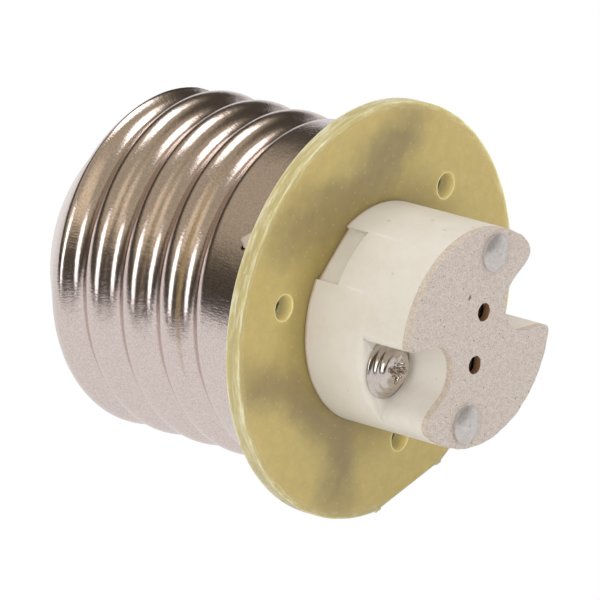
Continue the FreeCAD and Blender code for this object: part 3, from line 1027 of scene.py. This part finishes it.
@dataclass(frozen=True)
class ScrewShell:
    """The drawn sleeve with its rolled round thread, in millimetres.

    Attributes:
        crest_radius: outer radius of the thread and the collar.
        pitch: of the thread.
        depth: of the groove.
        turns: how many turns the groove makes.
        start_z: height of the groove's middle where it starts.
        start_angle: where it starts, in degrees.
        runout: share of a turn in which the groove fades in and out.
        sheet: the sleeve's wall.
        board_z: the sleeve's end at the board.
        end_z: its other end.
        shoulder: radius of the bend at that end.
        lip_radius: inner radius of the lip.
        around: steps about the axis.
        bend_steps: steps of the shoulder's bend.
        rise: height of a row of faces.
    """

    crest_radius: float = CREST_RADIUS
    pitch: float = 3.629
    depth: float = 1.095
    turns: float = 4.2
    start_z: float = -20.85
    start_angle: float = -4.0
    runout: float = 0.2
    sheet: float = 0.3
    board_z: float = BOARD_BACK
    end_z: float = -22.1
    shoulder: float = 2.4
    lip_radius: float = 10.5
    around: int = 288
    bend_steps: int = 12
    rise: float = 0.13

    def groove(self, angle: float, z: float) -> float:
        """How far the surface lies inside the crest.

        Args:
            angle: about the axis, in degrees.
            z: height along the axis.

        Returns:
            The drop from the crest's radius, from the thread's two equal arcs.
        """
        half = self.pitch / 2
        arc = 2 * math.atan(self.depth / half)
        radius = half / 2 / math.sin(arc)
        first = self.start_z + self.pitch * (angle - self.start_angle) / 360
        lap = round((z - first) / self.pitch)
        travel = (angle - self.start_angle) / 360 + lap
        gap = abs(z - first - lap * self.pitch)
        rest = half - gap
        if rest < half / 2:
            drop = radius - math.sqrt(radius ** 2 - rest ** 2)
        else:
            drop = self.depth - radius + math.sqrt(radius ** 2 - gap ** 2)
        fade_in = smooth_step(travel / self.runout + 0.5)
        fade_out = smooth_step((self.turns - travel) / self.runout + 0.5)
        return drop * fade_in * fade_out

    def build(self, frame: PartFrame, finish: Finish) -> bpy.types.Object:
        """Spin the sleeve's outline, press the thread into it and give it its wall.

        Args:
            frame: the part's frame.
            finish: the plate.

        Returns:
            The sleeve.
        """
        outline = [Vector((self.lip_radius, 0, self.end_z))]
        foot = self.crest_radius - self.shoulder
        for step in range(self.bend_steps + 1):
            turn = math.radians(90 * step / self.bend_steps)
            outline.append(Vector((foot + self.shoulder * math.sin(turn), 0,
                                   self.end_z + self.shoulder * (1 - math.cos(turn)))))
        low = self.end_z + self.shoulder
        count = int((self.board_z - low) / self.rise)
        for step in range(1, count + 1):
            z = low + (self.board_z - low) * step / count
            outline.append(Vector((self.crest_radius, 0, z)))
        bm = spun(outline, self.around)
        for vert in bm.verts:
            flat = Vector((vert.co.x, vert.co.y, 0))
            angle = math.degrees(math.atan2(vert.co.y, vert.co.x)) % 360
            if angle > 360 + self.start_angle:
                angle -= 360
            limit = self.crest_radius - self.groove(angle, vert.co.z)
            if flat.length > limit:
                vert.co -= flat.normalized() * (flat.length - limit)
        bmesh.ops.recalc_face_normals(bm, faces=bm.faces)
        made = piece("rolled_shell", bm, frame, finish.build(frame))
        wall = made.modifiers.new("sheet", "SOLIDIFY")
        wall.thickness = self.sheet * MM
        wall.offset = -1
        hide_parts("screw_shell")
        return made


@dataclass(frozen=True)
class SocketOutline:
    """The notched outline that the ceramic body's head and the cover share, in millimetres.

    Attributes:
        radius: of the rim.
        screw: place of one screw; the other is opposite.
        notch_radius: of the notch's bend around the screw.
        slant: how far the outer wall of a notch leans to the side, in degrees.
        lean: how far its inner wall leans, in degrees.
        lobe_round: reach of the soft corner at the inner wall.
        slant_round: reach of the soft corner at the outer wall.
        step: distance of two points on the rim, in degrees.
        corner_steps: steps of a soft corner.
        bend_steps: steps of the notch's bend.
    """

    radius: float = 8.42
    screw: tuple[float, float] = SCREW_PLACE
    notch_radius: float = 2.45
    slant: float = 43.0
    lean: float = 10.0
    lobe_round: float = 0.7
    slant_round: float = 1.5
    step: float = 3.0
    corner_steps: int = 6
    bend_steps: int = 24

    def hit(self, start: Vector, way: Vector) -> Vector:
        """Find where a wall meets the rim.

        Args:
            start: a point of the wall.
            way: the wall's direction from there.

        Returns:
            The point on the rim.
        """
        along = start.dot(way)
        beside = start.length_squared - along ** 2
        return start + way * (math.sqrt(self.radius ** 2 - beside) - along)

    def corner(self, rim: Vector, wall: Vector, reach: float, side: float) -> list[Vector]:
        """The soft corner between the rim and a notch wall.

        Args:
            rim: the sharp corner.
            wall: direction from it along the wall.
            reach: how far the rounding goes along both.
            side: 1 where the rim goes on counter-clockwise from the corner, else -1.

        Returns:
            Points from the rim to the wall.
        """
        turned = Matrix.Rotation(side * reach / self.radius, 2) @ rim
        inner = rim + wall * reach
        points = []
        for count in range(self.corner_steps + 1):
            share = count / self.corner_steps
            rest = 1 - share
            points.append(turned * rest ** 2 + rim * 2 * share * rest + inner * share ** 2)
        return points

    def notch(self) -> list[Vector]:
        """Draw one notch, from the rim around the screw and back to the rim.

        Returns:
            Its points, counter-clockwise about the axis.
        """
        lean, slant = math.radians(self.lean), math.radians(self.slant)
        centre = Vector(self.screw)
        first, last = math.pi + lean, math.pi / 2 - slant
        bend = [first + (last - first) * index / self.bend_steps
                for index in range(self.bend_steps + 1)]
        arc = [centre + Vector((math.cos(turn), math.sin(turn))) * self.notch_radius
               for turn in bend]
        lobe_way = Vector((math.sin(lean), -math.cos(lean)))
        slant_way = Vector((math.cos(slant), -math.sin(slant)))
        lobe = self.corner(self.hit(arc[0], lobe_way), -lobe_way, self.lobe_round, -1.0)
        outer = self.corner(self.hit(arc[-1], slant_way), -slant_way, self.slant_round, 1.0)
        return lobe + arc + outer[::-1]

    def rim(self, start: Vector, end: Vector) -> list[Vector]:
        """Draw the rim between two of its points.

        Args:
            start: the first point.
            end: the last point, counter-clockwise from the first.

        Returns:
            The points between them.
        """
        first = math.atan2(start.y, start.x)
        sweep = (math.atan2(end.y, end.x) - first) % (2 * math.pi)
        count = max(2, round(math.degrees(sweep) / self.step))
        turns = [first + sweep * index / count for index in range(1, count)]
        return [Vector((math.cos(turn), math.sin(turn))) * self.radius for turn in turns]

    def points(self) -> list[Vector]:
        """Draw the whole outline.

        Returns:
            Its points, counter-clockwise.
        """
        notch = self.notch()
        half = notch + self.rim(notch[-1], -notch[0])
        return half + [-point for point in half]


@dataclass(frozen=True)
class CeramicBody:
    """The pressed and fired body: notched head on a round foot, with pockets and lead slots.

    Attributes:
        shape: the head's outline.
        height: of the body.
        ledge: height of the two ledges that the screws stand on.
        slot_angle: direction of one lead slot; the other is opposite.
        slot_width, slot_height: of a lead slot.
        slot_floor: distance of a slot's floor from the axis.
        pocket: length, width and floor height of the pocket under a pin hole.
        edge: rounding of the sharp edges.
        bevel_width: the rounding of an edge with full weight.
        sharp: angle from which an edge is sharp, in degrees.
        unrounded: how near the ledge's height an edge stays as it is.
        brink: how far the ledge's open side is worn down at the rim.
        slope: rows of the worn side from there inwards, each with its distance from the rim
            and its drop below the ledge.
        slope_ends: shares of the side in which the wear fades at its two ends.
    """

    shape: SocketOutline
    height: float = BODY_HEIGHT
    ledge: float = LEDGE_HEIGHT
    slot_angle: float = -123.0
    slot_width: float = 4.7
    slot_height: float = 2.15
    slot_floor: float = 7.75
    pocket: tuple[float, float, float] = (2.6, 3.4, 2.6)
    edge: float = 0.16
    bevel_width: float = 0.2
    sharp: float = 35.0
    unrounded: float = 0.8
    brink: float = 0.65
    slope: tuple[tuple[float, float], ...] = ((0.12, 0.3), (0.35, 0.1), (0.65, 0.0))
    slope_ends: tuple[float, float] = (0.22, 0.45)

    def foot_rim(self) -> list[Vector]:
        """Draw the foot's full circle, with the head's points and the slots' corners.

        Returns:
            Its points, counter-clockwise.
        """
        notch = self.shape.notch()
        half = [notch[0]] + self.shape.rim(notch[0], notch[-1])
        half += [notch[-1]] + self.shape.rim(notch[-1], -notch[0])
        ring = half + [-point for point in half]
        spread = math.asin(self.slot_width / 2 / self.shape.radius)
        for middle in (math.radians(self.slot_angle), math.radians(self.slot_angle + 180)):
            for turn in (middle - spread, middle + spread):
                ring.append(Vector((math.cos(turn), math.sin(turn))) * self.shape.radius)
        return sorted(ring, key=lambda point: math.atan2(point.y, point.x))

    def build(self, frame: PartFrame, turn: Matrix, finish: Finish) -> bpy.types.Object:
        """Raise the walls level by level, close them, press in the slots and soften the edges.

        Args:
            frame: the part's frame.
            turn: the socket's turn about the axis.
            finish: the ceramic.

        Returns:
            The body.
        """
        bm = bmesh.new()
        levels = [[bm.verts.new((point.x, point.y, z)) for point in self.foot_rim()]
                  for z in (0.0, self.slot_height, self.ledge)]
        bm.faces.new(levels[0][::-1])
        for low, high in zip(levels, levels[1:]):
            self.add_wall(bm, low, high)
        self.add_head(bm, levels[-1])
        self.close_head(bm)
        for angle in (self.slot_angle, self.slot_angle + 180):
            self.press_slot(bm, around(1.0, angle))
        # The slots cut into the foot's face, which is made anew around them.
        base = [face for face in bm.faces if all(vert.co.z < WELD for vert in face.verts)]
        bmesh.ops.delete(bm, geom=base, context="FACES")
        open_edges = [edge for edge in bm.edges if edge.is_boundary]
        bmesh.ops.holes_fill(bm, edges=open_edges, sides=0)
        bmesh.ops.recalc_face_normals(bm, faces=bm.faces)
        self.weigh_edges(bm)
        bm.transform(turn)
        made = piece("ceramic_socket_body", bm, frame, finish.build(frame))
        bevel = made.modifiers.new("fired_edge", "BEVEL")
        bevel.width = self.bevel_width * MM
        bevel.segments = 4
        bevel.limit_method = "WEIGHT"
        bevel.harden_normals = True
        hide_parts("ceramic_body")
        return made

    def add_wall(self, bm: bmesh.types.BMesh, low: list[bmesh.types.BMVert],
                 high: list[bmesh.types.BMVert]) -> None:
        """Join two rings of corners with faces.

        Args:
            bm: the body.
            low: the lower ring.
            high: the upper ring, corner over corner.
        """
        for index in range(len(low)):
            after = (index + 1) % len(low)
            bm.faces.new((low[index], low[after], high[after], high[index]))

    def add_head(self, bm: bmesh.types.BMesh, rim: list[bmesh.types.BMVert]) -> None:
        """Raise the notched head from the foot and lay the two ledges beside it.

        Args:
            bm: the body.
            rim: the foot's upper corners.
        """
        outline = self.shape.points()
        shared = {(round(vert.co.x, 3), round(vert.co.y, 3)): vert for vert in rim}
        ledge = []
        for point in outline:
            key = (round(point.x, 3), round(point.y, 3))
            ledge.append(shared.get(key) or bm.verts.new((point.x, point.y, self.ledge)))
        top = [bm.verts.new((point.x, point.y, self.height)) for point in outline]
        self.add_wall(bm, ledge, top)
        steps = len(self.shape.notch())
        for offset in (0, len(outline) // 2):
            wall = ledge[offset:offset + steps]
            first, last = rim.index(wall[0]), rim.index(wall[-1])
            count = (last - first) % len(rim)
            arc = [rim[(first + index) % len(rim)] for index in range(count + 1)]
            bm.faces.new(self.soften(bm, arc) + wall[-2:0:-1])

    def soften(self, bm: bmesh.types.BMesh,
               arc: list[bmesh.types.BMVert]) -> list[bmesh.types.BMVert]:
        """Slope a ledge's open side, most in its middle, so that it runs into the wall.

        Args:
            bm: the body.
            arc: the ledge's corners on the rim, from one notch wall to the other.

        Returns:
            The corners that bound the flat ledge instead.
        """
        rows = [arc]
        places = [index / (len(arc) - 1) for index in range(len(arc))]
        shares = [smooth_step(place / self.slope_ends[0])
                  * smooth_step((1 - place) / self.slope_ends[1]) for place in places]
        for inward, drop in self.slope:
            row = [arc[0]]
            for vert, share in zip(arc[1:-1], shares[1:-1]):
                scale = 1 - inward * share / self.shape.radius
                row.append(bm.verts.new((vert.co.x * scale, vert.co.y * scale,
                                         self.ledge - drop * share)))
            rows.append(row + [arc[-1]])
        for vert, share in zip(arc, shares):
            vert.co.z -= self.brink * share
        for outer, inner in zip(rows, rows[1:]):
            for index in range(len(arc) - 1):
                corners = [outer[index], outer[index + 1], inner[index + 1], inner[index]]
                bm.faces.new(list(dict.fromkeys(corners)))
        return rows[-1]

    def close_head(self, bm: bmesh.types.BMesh) -> None:
        """Sink the two pockets and fill the head's face around them.

        Args:
            bm: the body.
        """
        rims = [edge for edge in bm.edges
                if all(vert.co.z > self.height - WELD for vert in edge.verts)]
        length, width, floor = self.pocket
        for side in (-1, 1):
            corners = [Vector((side * PIN_X + x * length / 2, y * width / 2, self.height))
                       for x, y in ((-1, -1), (1, -1), (1, 1), (-1, 1))]
            edges = loop_edges(bm, corners)
            rims += edges
            walls = bmesh.ops.extrude_edge_only(bm, edges=edges)["geom"]
            low = [part for part in walls if isinstance(part, bmesh.types.BMVert)]
            bmesh.ops.translate(bm, verts=low, vec=(0, 0, floor - self.height))
            bmesh.ops.contextual_create(bm, geom=low)
        bmesh.ops.triangle_fill(bm, edges=rims, use_beauty=True, use_dissolve=False)

    def weigh_edges(self, bm: bmesh.types.BMesh) -> None:
        """Mark the sharp edges for rounding, but not those around the screw ledges.

        Args:
            bm: the body.
        """
        weight = bm.edges.layers.float.new("bevel_weight_edge")
        for edge in bm.edges:
            middle = (edge.verts[0].co + edge.verts[1].co) / 2
            is_sharp = edge.calc_face_angle(0.0) >= math.radians(self.sharp)
            at_ledge = abs(middle.z - self.ledge) < self.unrounded
            edge[weight] = self.edge / self.bevel_width if is_sharp and not at_ledge else 0.0

    def press_slot(self, bm: bmesh.types.BMesh, out: Vector) -> None:
        """Press one lead slot into the foot's wall.

        Args:
            bm: the body.
            out: direction from the axis to the slot's middle.
        """
        across = Vector((-out.y, out.x, 0))
        chosen = []
        for face in bm.faces:
            middle = face.calc_center_median()
            beside = abs(middle.dot(across)) < self.slot_width / 2
            upright = 0.1 < middle.z < self.slot_height and abs(face.normal.z) < 0.5
            if beside and upright and middle.dot(out) > self.shape.radius * 0.9:
                chosen.append(face)
        pressed = bmesh.ops.extrude_face_region(bm, geom=chosen)["geom"]
        bmesh.ops.delete(bm, geom=chosen, context="FACES")
        for vert in (part for part in pressed if isinstance(part, bmesh.types.BMVert)):
            vert.co -= out * (vert.co.dot(out) - self.slot_floor)


class MicaSide(IntEnum):
    """The three kinds of surface on the cover, in the order of its finishes."""

    FACE = 0
    CUT = 1
    PIERCED = 2


@dataclass(frozen=True)
class MicaCover:
    """The punched cover with its slightly torn edge.

    Attributes:
        shape: its outline.
        low: height of its underside.
        thickness: of the sheet.
        hole_radius: of the pin holes.
        hole_steps: steps around a pin hole.
        hole_tear: how far a hole's edge varies.
        tear: how far the outline is torn inwards.
        worn: rounding of the edges.
    """

    shape: SocketOutline
    low: float = BODY_HEIGHT
    thickness: float = COVER_THICKNESS
    hole_radius: float = 0.7
    hole_steps: int = 28
    hole_tear: float = 0.06
    tear: float = 0.07
    worn: float = 0.07

    def hole(self, side: int) -> list[Vector]:
        """Draw one pin hole with its uneven edge.

        Args:
            side: 1 or -1 for the side it is on.

        Returns:
            Its points.
        """
        points = []
        for step in range(self.hole_steps):
            way = around(1.0, 360 * step / self.hole_steps)
            tear = self.hole_tear * noise.noise(Vector((way.x * 2, way.y * 2, side)))
            place = way * (self.hole_radius + tear)
            points.append(place + Vector((side * PIN_X, 0, self.low)))
        return points

    def build(self, frame: PartFrame, turn: Matrix,
              finishes: dict[MicaSide, Finish]) -> bpy.types.Object:
        """Fill the outline around the pin holes and raise it to the sheet's thickness.

        Args:
            frame: the part's frame.
            turn: the socket's turn about the axis.
            finishes: the mica of each kind of surface.

        Returns:
            The cover.
        """
        bm = bmesh.new()
        outline = []
        for point in self.shape.points():
            ragged = 0.5 + noise.noise(Vector((point.x, point.y, self.low)) * 1.7)
            scale = 1 - self.tear * ragged / self.shape.radius
            outline.append(Vector((point.x * scale, point.y * scale, self.low)))
        edges = loop_edges(bm, outline) + loop_edges(bm, self.hole(-1))
        edges += loop_edges(bm, self.hole(1))
        bmesh.ops.triangle_fill(bm, edges=edges, use_beauty=True, use_dissolve=False)
        raised = bmesh.ops.extrude_face_region(bm, geom=list(bm.faces),
                                               use_keep_orig=True)["geom"]
        top = [part for part in raised if isinstance(part, bmesh.types.BMVert)]
        bmesh.ops.translate(bm, verts=top, vec=(0, 0, self.thickness))
        bmesh.ops.recalc_face_normals(bm, faces=bm.faces)
        for face in bm.faces:
            if abs(face.normal.z) < 0.5:
                middle = face.calc_center_median()
                from_pin = math.hypot(abs(middle.x) - PIN_X, middle.y)
                pierced = from_pin < self.hole_radius + 0.1
                face.material_index = MicaSide.PIERCED if pierced else MicaSide.CUT
        bm.transform(turn)
        made = piece("mica_sheet", bm, frame, finishes[MicaSide.FACE].build(frame))
        for side in (MicaSide.CUT, MicaSide.PIERCED):
            made.data.materials.append(finishes[side].build(frame))
        bevel = made.modifiers.new("worn_edge", "BEVEL")
        bevel.width = self.worn * MM
        bevel.segments = 2
        bevel.limit_method = "ANGLE"
        bevel.angle_limit = math.radians(50)
        bevel.harden_normals = True
        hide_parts("mica_cover")
        return made


@dataclass(frozen=True)
class WasherScrew:
    """A plated screw with a rolled washer, a step and a low head whose recess is worn.

    Attributes:
        shank_radius: of the shank.
        tail: height of the shank's end.
        seat: height of the ledge that the washer lies on.
        side: the washer's and the head's outline, as radius and height above the seat.
        crown_radius, crown_base: where the head's domed top starts.
        crown_height: the top's middle, above the seat.
        crown_steps: steps of the top from its edge to its middle.
        recess: depth of the cross recess.
        recess_radius: how far it can reach.
        core: the recess's reach between its arms.
        arm: what its arms add.
        nick: what the worn corners between its arms add.
        wear_mm: size of the dents from worn drivers.
        steps: steps about the screw's axis.
    """

    shank_radius: float = 1.0
    tail: float = -3.3
    seat: float = LEDGE_HEIGHT
    side: tuple[tuple[float, float], ...] = (
        (2.37, 0.0), (2.42, 0.1), (2.36, 0.22), (2.07, 0.3), (1.98, 0.34), (1.92, 0.42),
        (1.9, 0.52), (1.82, 0.58), (1.7, 0.6), (1.62, 0.64), (1.55, 0.74), (1.5, 0.88))
    crown_radius: float = 1.38
    crown_base: float = 1.0
    crown_height: float = 1.2
    crown_steps: int = 18
    recess: float = 0.75
    recess_radius: float = 1.3
    core: float = 0.42
    arm: float = 0.75
    nick: float = 0.4
    wear_mm: float = 0.4
    steps: int = 72

    def outline(self) -> list[Vector]:
        """Draw the screw's profile.

        Returns:
            Its points, from the middle of the tail to the middle of the head.
        """
        points = [Vector((0, 0, self.tail)), Vector((self.shank_radius, 0, self.tail)),
                  Vector((self.shank_radius, 0, self.seat))]
        points += [Vector((radius, 0, self.seat + height)) for radius, height in self.side]
        for step in range(self.crown_steps + 1):
            share = 1 - step / self.crown_steps
            rise = (self.crown_height - self.crown_base) * (1 - share ** 2)
            points.append(Vector((self.crown_radius * share, 0,
                                  self.seat + self.crown_base + rise)))
        return points

    def sunk(self, x: float, y: float) -> float:
        """How deep the worn recess is at a place on the head.

        Args:
            x, y: the place about the screw's axis.

        Returns:
            The depth.
        """
        radius = math.hypot(x, y)
        angle = math.atan2(y, x)
        reach = self.core + self.arm * abs(math.cos(2 * angle)) ** 3
        reach += self.nick * abs(math.sin(2 * angle)) ** 8
        worn = noise.noise(Vector((x / self.wear_mm, y / self.wear_mm, 3.1)))
        depth = smooth_step((reach - radius) / 0.22 + 0.3 * worn) * (0.8 + 0.5 * worn)
        return self.recess * depth * (1.2 - radius / 1.4)

    def build(self, frame: PartFrame, place: Matrix, node: str,
              finish: Finish) -> bpy.types.Object:
        """Spin the profile and press the recess into the head.

        Args:
            frame: the part's frame.
            place: from the screw's own axis to its place about the part's axis.
            node: the node that the screw stands for.
            finish: the plating.

        Returns:
            The screw.
        """
        bm = spun(self.outline(), self.steps)
        for vert in bm.verts:
            on_head = vert.co.z >= self.seat + self.crown_base - 0.05
            if on_head and math.hypot(vert.co.x, vert.co.y) <= self.recess_radius:
                vert.co.z -= self.sunk(vert.co.x, vert.co.y)
        bmesh.ops.recalc_face_normals(bm, faces=bm.faces)
        bm.transform(place)
        made = piece(node + "_plated", bm, frame, finish.build(frame))
        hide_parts(node)
        return made


@dataclass(frozen=True)
class Glue:
    """The bead in the corner inside the collar, and the run of glue that dried on its outside.

    Attributes:
        radius: the collar's outer radius.
        bore: its inner radius.
        board_z: height of the board's back.
        leg: the bead's size.
        bead_steps: steps of the bead about the axis.
        first, last: where the run starts and ends, in degrees.
        run_steps: its steps.
        reach: how far it comes down the collar.
        wedge: its section, as distance from the collar and share of the reach.
        uneven: how far its free edge varies.
        waves: how many waves that edge has.
    """

    radius: float = CREST_RADIUS
    bore: float = 12.85
    board_z: float = BOARD_BACK
    leg: float = 0.55
    bead_steps: int = 120
    first: float = 160.0
    last: float = 173.0
    run_steps: int = 36
    reach: float = 2.9
    wedge: tuple[tuple[float, float], ...] = (
        (-0.05, 0.0), (0.45, 0.0), (0.22, 0.45), (0.14, 0.8), (-0.05, 1.0))
    uneven: float = 0.3
    waves: float = 3.5

    def run(self) -> bmesh.types.BMesh:
        """Sweep a thin wedge along the joint and make its free edge uneven.

        Returns:
            The run's mesh.
        """
        bm = bmesh.new()
        verts = [bm.verts.new((self.radius + out, 0, -share)) for out, share in self.wedge]
        edges = [bm.edges.new(two) for two in zip(verts, verts[1:] + verts[:1])]
        cap = bm.faces.new(verts)
        sweep = self.last - self.first
        bmesh.ops.spin(bm, geom=[cap] + edges + verts, cent=(0, 0, 0), axis=(0, 0, 1),
                       angle=math.radians(sweep), steps=self.run_steps)
        for vert in bm.verts:
            share = math.degrees(math.atan2(vert.co.y, vert.co.x)) / sweep
            ends = smooth_step(share / 0.5) * smooth_step((1 - share) / 0.08)
            rough = noise.noise(Vector((share * self.waves, vert.co.z, 0.7)))
            vert.co.z *= self.reach * ends * (1 + self.uneven * rough)
            flat = Vector((vert.co.x, vert.co.y, 0))
            vert.co -= flat.normalized() * (flat.length - self.radius) * (1 - ends)
            vert.co.z += self.board_z
        bm.transform(Matrix.Rotation(math.radians(self.first), 4, "Z"))
        return bm

    def build(self, frame: PartFrame, finish: Finish) -> bpy.types.Object:
        """Make the run and the bead as one piece.

        Args:
            frame: the part's frame.
            finish: the glue.

        Returns:
            The glue.
        """
        corner = [Vector((self.bore, 0, self.board_z)),
                  Vector((self.bore, 0, self.board_z - self.leg)),
                  Vector((self.bore - self.leg, 0, self.board_z))]
        bm = self.run()
        absorb(bm, spun(corner + corner[:1], self.bead_steps))
        bmesh.ops.recalc_face_normals(bm, faces=bm.faces)
        made = piece("dried_glue", bm, frame, finish.build(frame))
        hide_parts("glue_bead")
        return made


@dataclass(frozen=True)
class DrillBurrs:
    """The torn collars that the drill left where the vents leave the board's back.

    Attributes:
        radius: of the vents.
        back: height of the board's back.
        length: of a burr.
        foot, tip: its wall at the board and at its free edge.
        tear: how far that edge varies.
        steps: steps around a burr.
    """

    radius: float = VENT_RADIUS
    back: float = BOARD_BACK
    length: float = 0.22
    foot: float = 0.16
    tip: float = 0.06
    tear: float = 0.1
    steps: int = 40

    def build(self, frame: PartFrame, finish: Finish) -> bpy.types.Object:
        """Spin one thin collar per vent and make its free edge uneven.

        Args:
            frame: the part's frame.
            finish: the board.

        Returns:
            The burrs.
        """
        end = self.back - self.length
        outline = [(self.radius, self.back), (self.radius + self.foot, self.back),
                   (self.radius + self.tip, end), (self.radius, end), (self.radius, self.back)]
        bm = bmesh.new()
        for angle in VENT_ANGLES:
            burr = spun([Vector((radius, 0, z)) for radius, z in outline], self.steps)
            for vert in burr.verts:
                if vert.co.z < self.back - 0.05:
                    place = Vector((vert.co.x * 3, vert.co.y * 3, angle))
                    vert.co.z += self.tear * noise.noise(place)
            turn = Matrix.Rotation(math.radians(angle), 4, "Z")
            burr.transform(turn @ Matrix.Translation((VENT_CIRCLE, 0, 0)))
            absorb(bm, burr)
        bmesh.ops.recalc_face_normals(bm, faces=bm.faces)
        made = piece("vent_burrs", bm, frame, finish.build(frame))
        return made


@dataclass(frozen=True)
class CadPieces:
    """The pieces that keep the frame's own mesh and only take a finish.

    Attributes:
        finishes: the finish of each node.
    """

    finishes: dict[str, Finish]

    def build(self, frame: PartFrame, nodes: dict[str, bpy.types.Object]) -> None:
        """Give each node its finish and report it.

        Args:
            frame: the part's frame.
            nodes: the frame's nodes by name.
        """
        made: dict[str, bpy.types.Material] = {}
        for name, finish in self.finishes.items():
            if finish.name not in made:
                made[finish.name] = finish.build(frame)
            node = nodes[name]
            node.data.materials.clear()
            node.data.materials.append(made[finish.name])
            LOG.info("%s keeps its mesh, in %s", name, finish.name)


def main() -> None:
    """Build the looks around the frame and report each piece."""
    logging.basicConfig(level=logging.INFO, format="%(name)s: %(message)s")
    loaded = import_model()
    bpy.context.scene.view_settings.view_transform = "Standard"
    frame = PartFrame.from_nodes(BODY_HEIGHT + COVER_THICKNESS / 2, SOCKET_ANGLE)
    LOG.info("axis %s origin %s", frame.z, frame.origin)

    # Nickel on drawn sheet mirrors the room, blurred a little by its grain.
    nickel = NickelPlate("bright_nickel_plate", "e4d6d2", 0.17, 1.0)
    # Steatite fired without a glaze is chalky and dull, and evenly light.
    steatite = Steatite("fired_steatite", "dbd4ca", 0.5, 0.0,
                        grain="cfc6b8", grain_mm=2.5, amount=0.5, relief_mm=0.012)
    # Pressed mica is matt and mottled, its cut edge browner and its pierced holes dark.
    mica = {
        MicaSide.FACE: PressedMica("pressed_mica_sheet", "dccfc7", 0.6, 0.0,
                                   grain="83736a", grain_mm=0.14, amount=0.62, relief_mm=0.06),
        MicaSide.CUT: Speckled("mica_cut_edge", "d2c4b6", 0.7, 0.0,
                               grain="8f7c6a", grain_mm=0.16, amount=0.6, relief_mm=0.06),
        MicaSide.PIERCED: Finish("pierced_mica", "8a6647", 0.7),
    }
    # Thin nickel on steel gives soft highlights that small dull spots break up.
    steel = Speckled("nickel_plated_steel", "d6cdc6", 0.2, 1.0,
                     grain="b5a79c", grain_mm=0.8, amount=0.4, relief_mm=0.004)
    # Glue that dried in the air is cloudy and half glossy.
    glue = Speckled("dried_glue", "c4b2a4", 0.45, 0.0,
                    grain="a08c7a", grain_mm=0.4, amount=0.4, relief_mm=0.04)
    # Bare glass-fibre board lets light in, which gives it its depth and milky tone.
    board = GlassFibreBoard("glass_fibre_epoxy_board", "c9b674", 0.35)
    # Pressed aluminium has gone dull in the air, so it is grey with a weak sheen.
    rivets = Speckled("dull_aluminium_rivet", "d2cdca", 0.25, 0.6,
                      grain="a39a94", grain_mm=0.3, amount=0.5, relief_mm=0.05)
    # Tin, plated brass and copper are plain metals here, silicone a soft matt white.
    solder = Finish("tin_solder", "b5b5b8", 0.35, 1.0)
    contact = Finish("nickel_plated_contact", "c9bfb2", 0.3, 1.0)
    copper = Finish("copper_wire", "b87352", 0.3, 1.0)
    sleeve = Finish("silicone_sleeve", "d9d9d5", 0.6)

    shape = SocketOutline()
    turn = Matrix.Rotation(math.radians(SOCKET_ANGLE), 4, "Z")
    pieces = [
        ScrewShell().build(frame, nickel),
        CeramicBody(shape).build(frame, turn, steatite),
        MicaCover(shape).build(frame, turn, mica),
    ]
    for node, side in (("washer_screw_a", 0.0), ("washer_screw_b", math.pi)):
        place = Matrix.Rotation(side, 4, "Z") @ turn @ Matrix.Translation((*SCREW_PLACE, 0))
        pieces.append(WasherScrew().build(frame, place, node, steel))
    pieces.append(Glue().build(frame, glue))
    pieces.append(DrillBurrs().build(frame, board))
    for made in pieces:
        LOG.info("%s has %d faces, in %s", made.name, len(made.data.polygons),
                 made.data.materials[0].name)
    # The insulator's glaze gives it clear highlights.
    insulator = Finish("glazed_insulator", "d8ccc8", 0.15)
    CadPieces({
        "end_insulator": insulator,
        "centre_contact": contact,
        "centre_solder": solder,
        "board_disc": board,
        "centre_lead_core": copper,
        "centre_lead_sleeve": sleeve,
        "shell_lead_core": copper,
        "shell_lead_sleeve": sleeve,
        "shell_solder": solder,
        "rivet_a": rivets,
        "rivet_b": rivets,
        "hex_nut_a": steel,
        "hex_nut_b": steel,
        "contact_clip_a": contact,
        "contact_clip_b": contact,
    }).build(frame, loaded["nodes"])
    Studio().build()


if __name__ == "__main__":
    main()
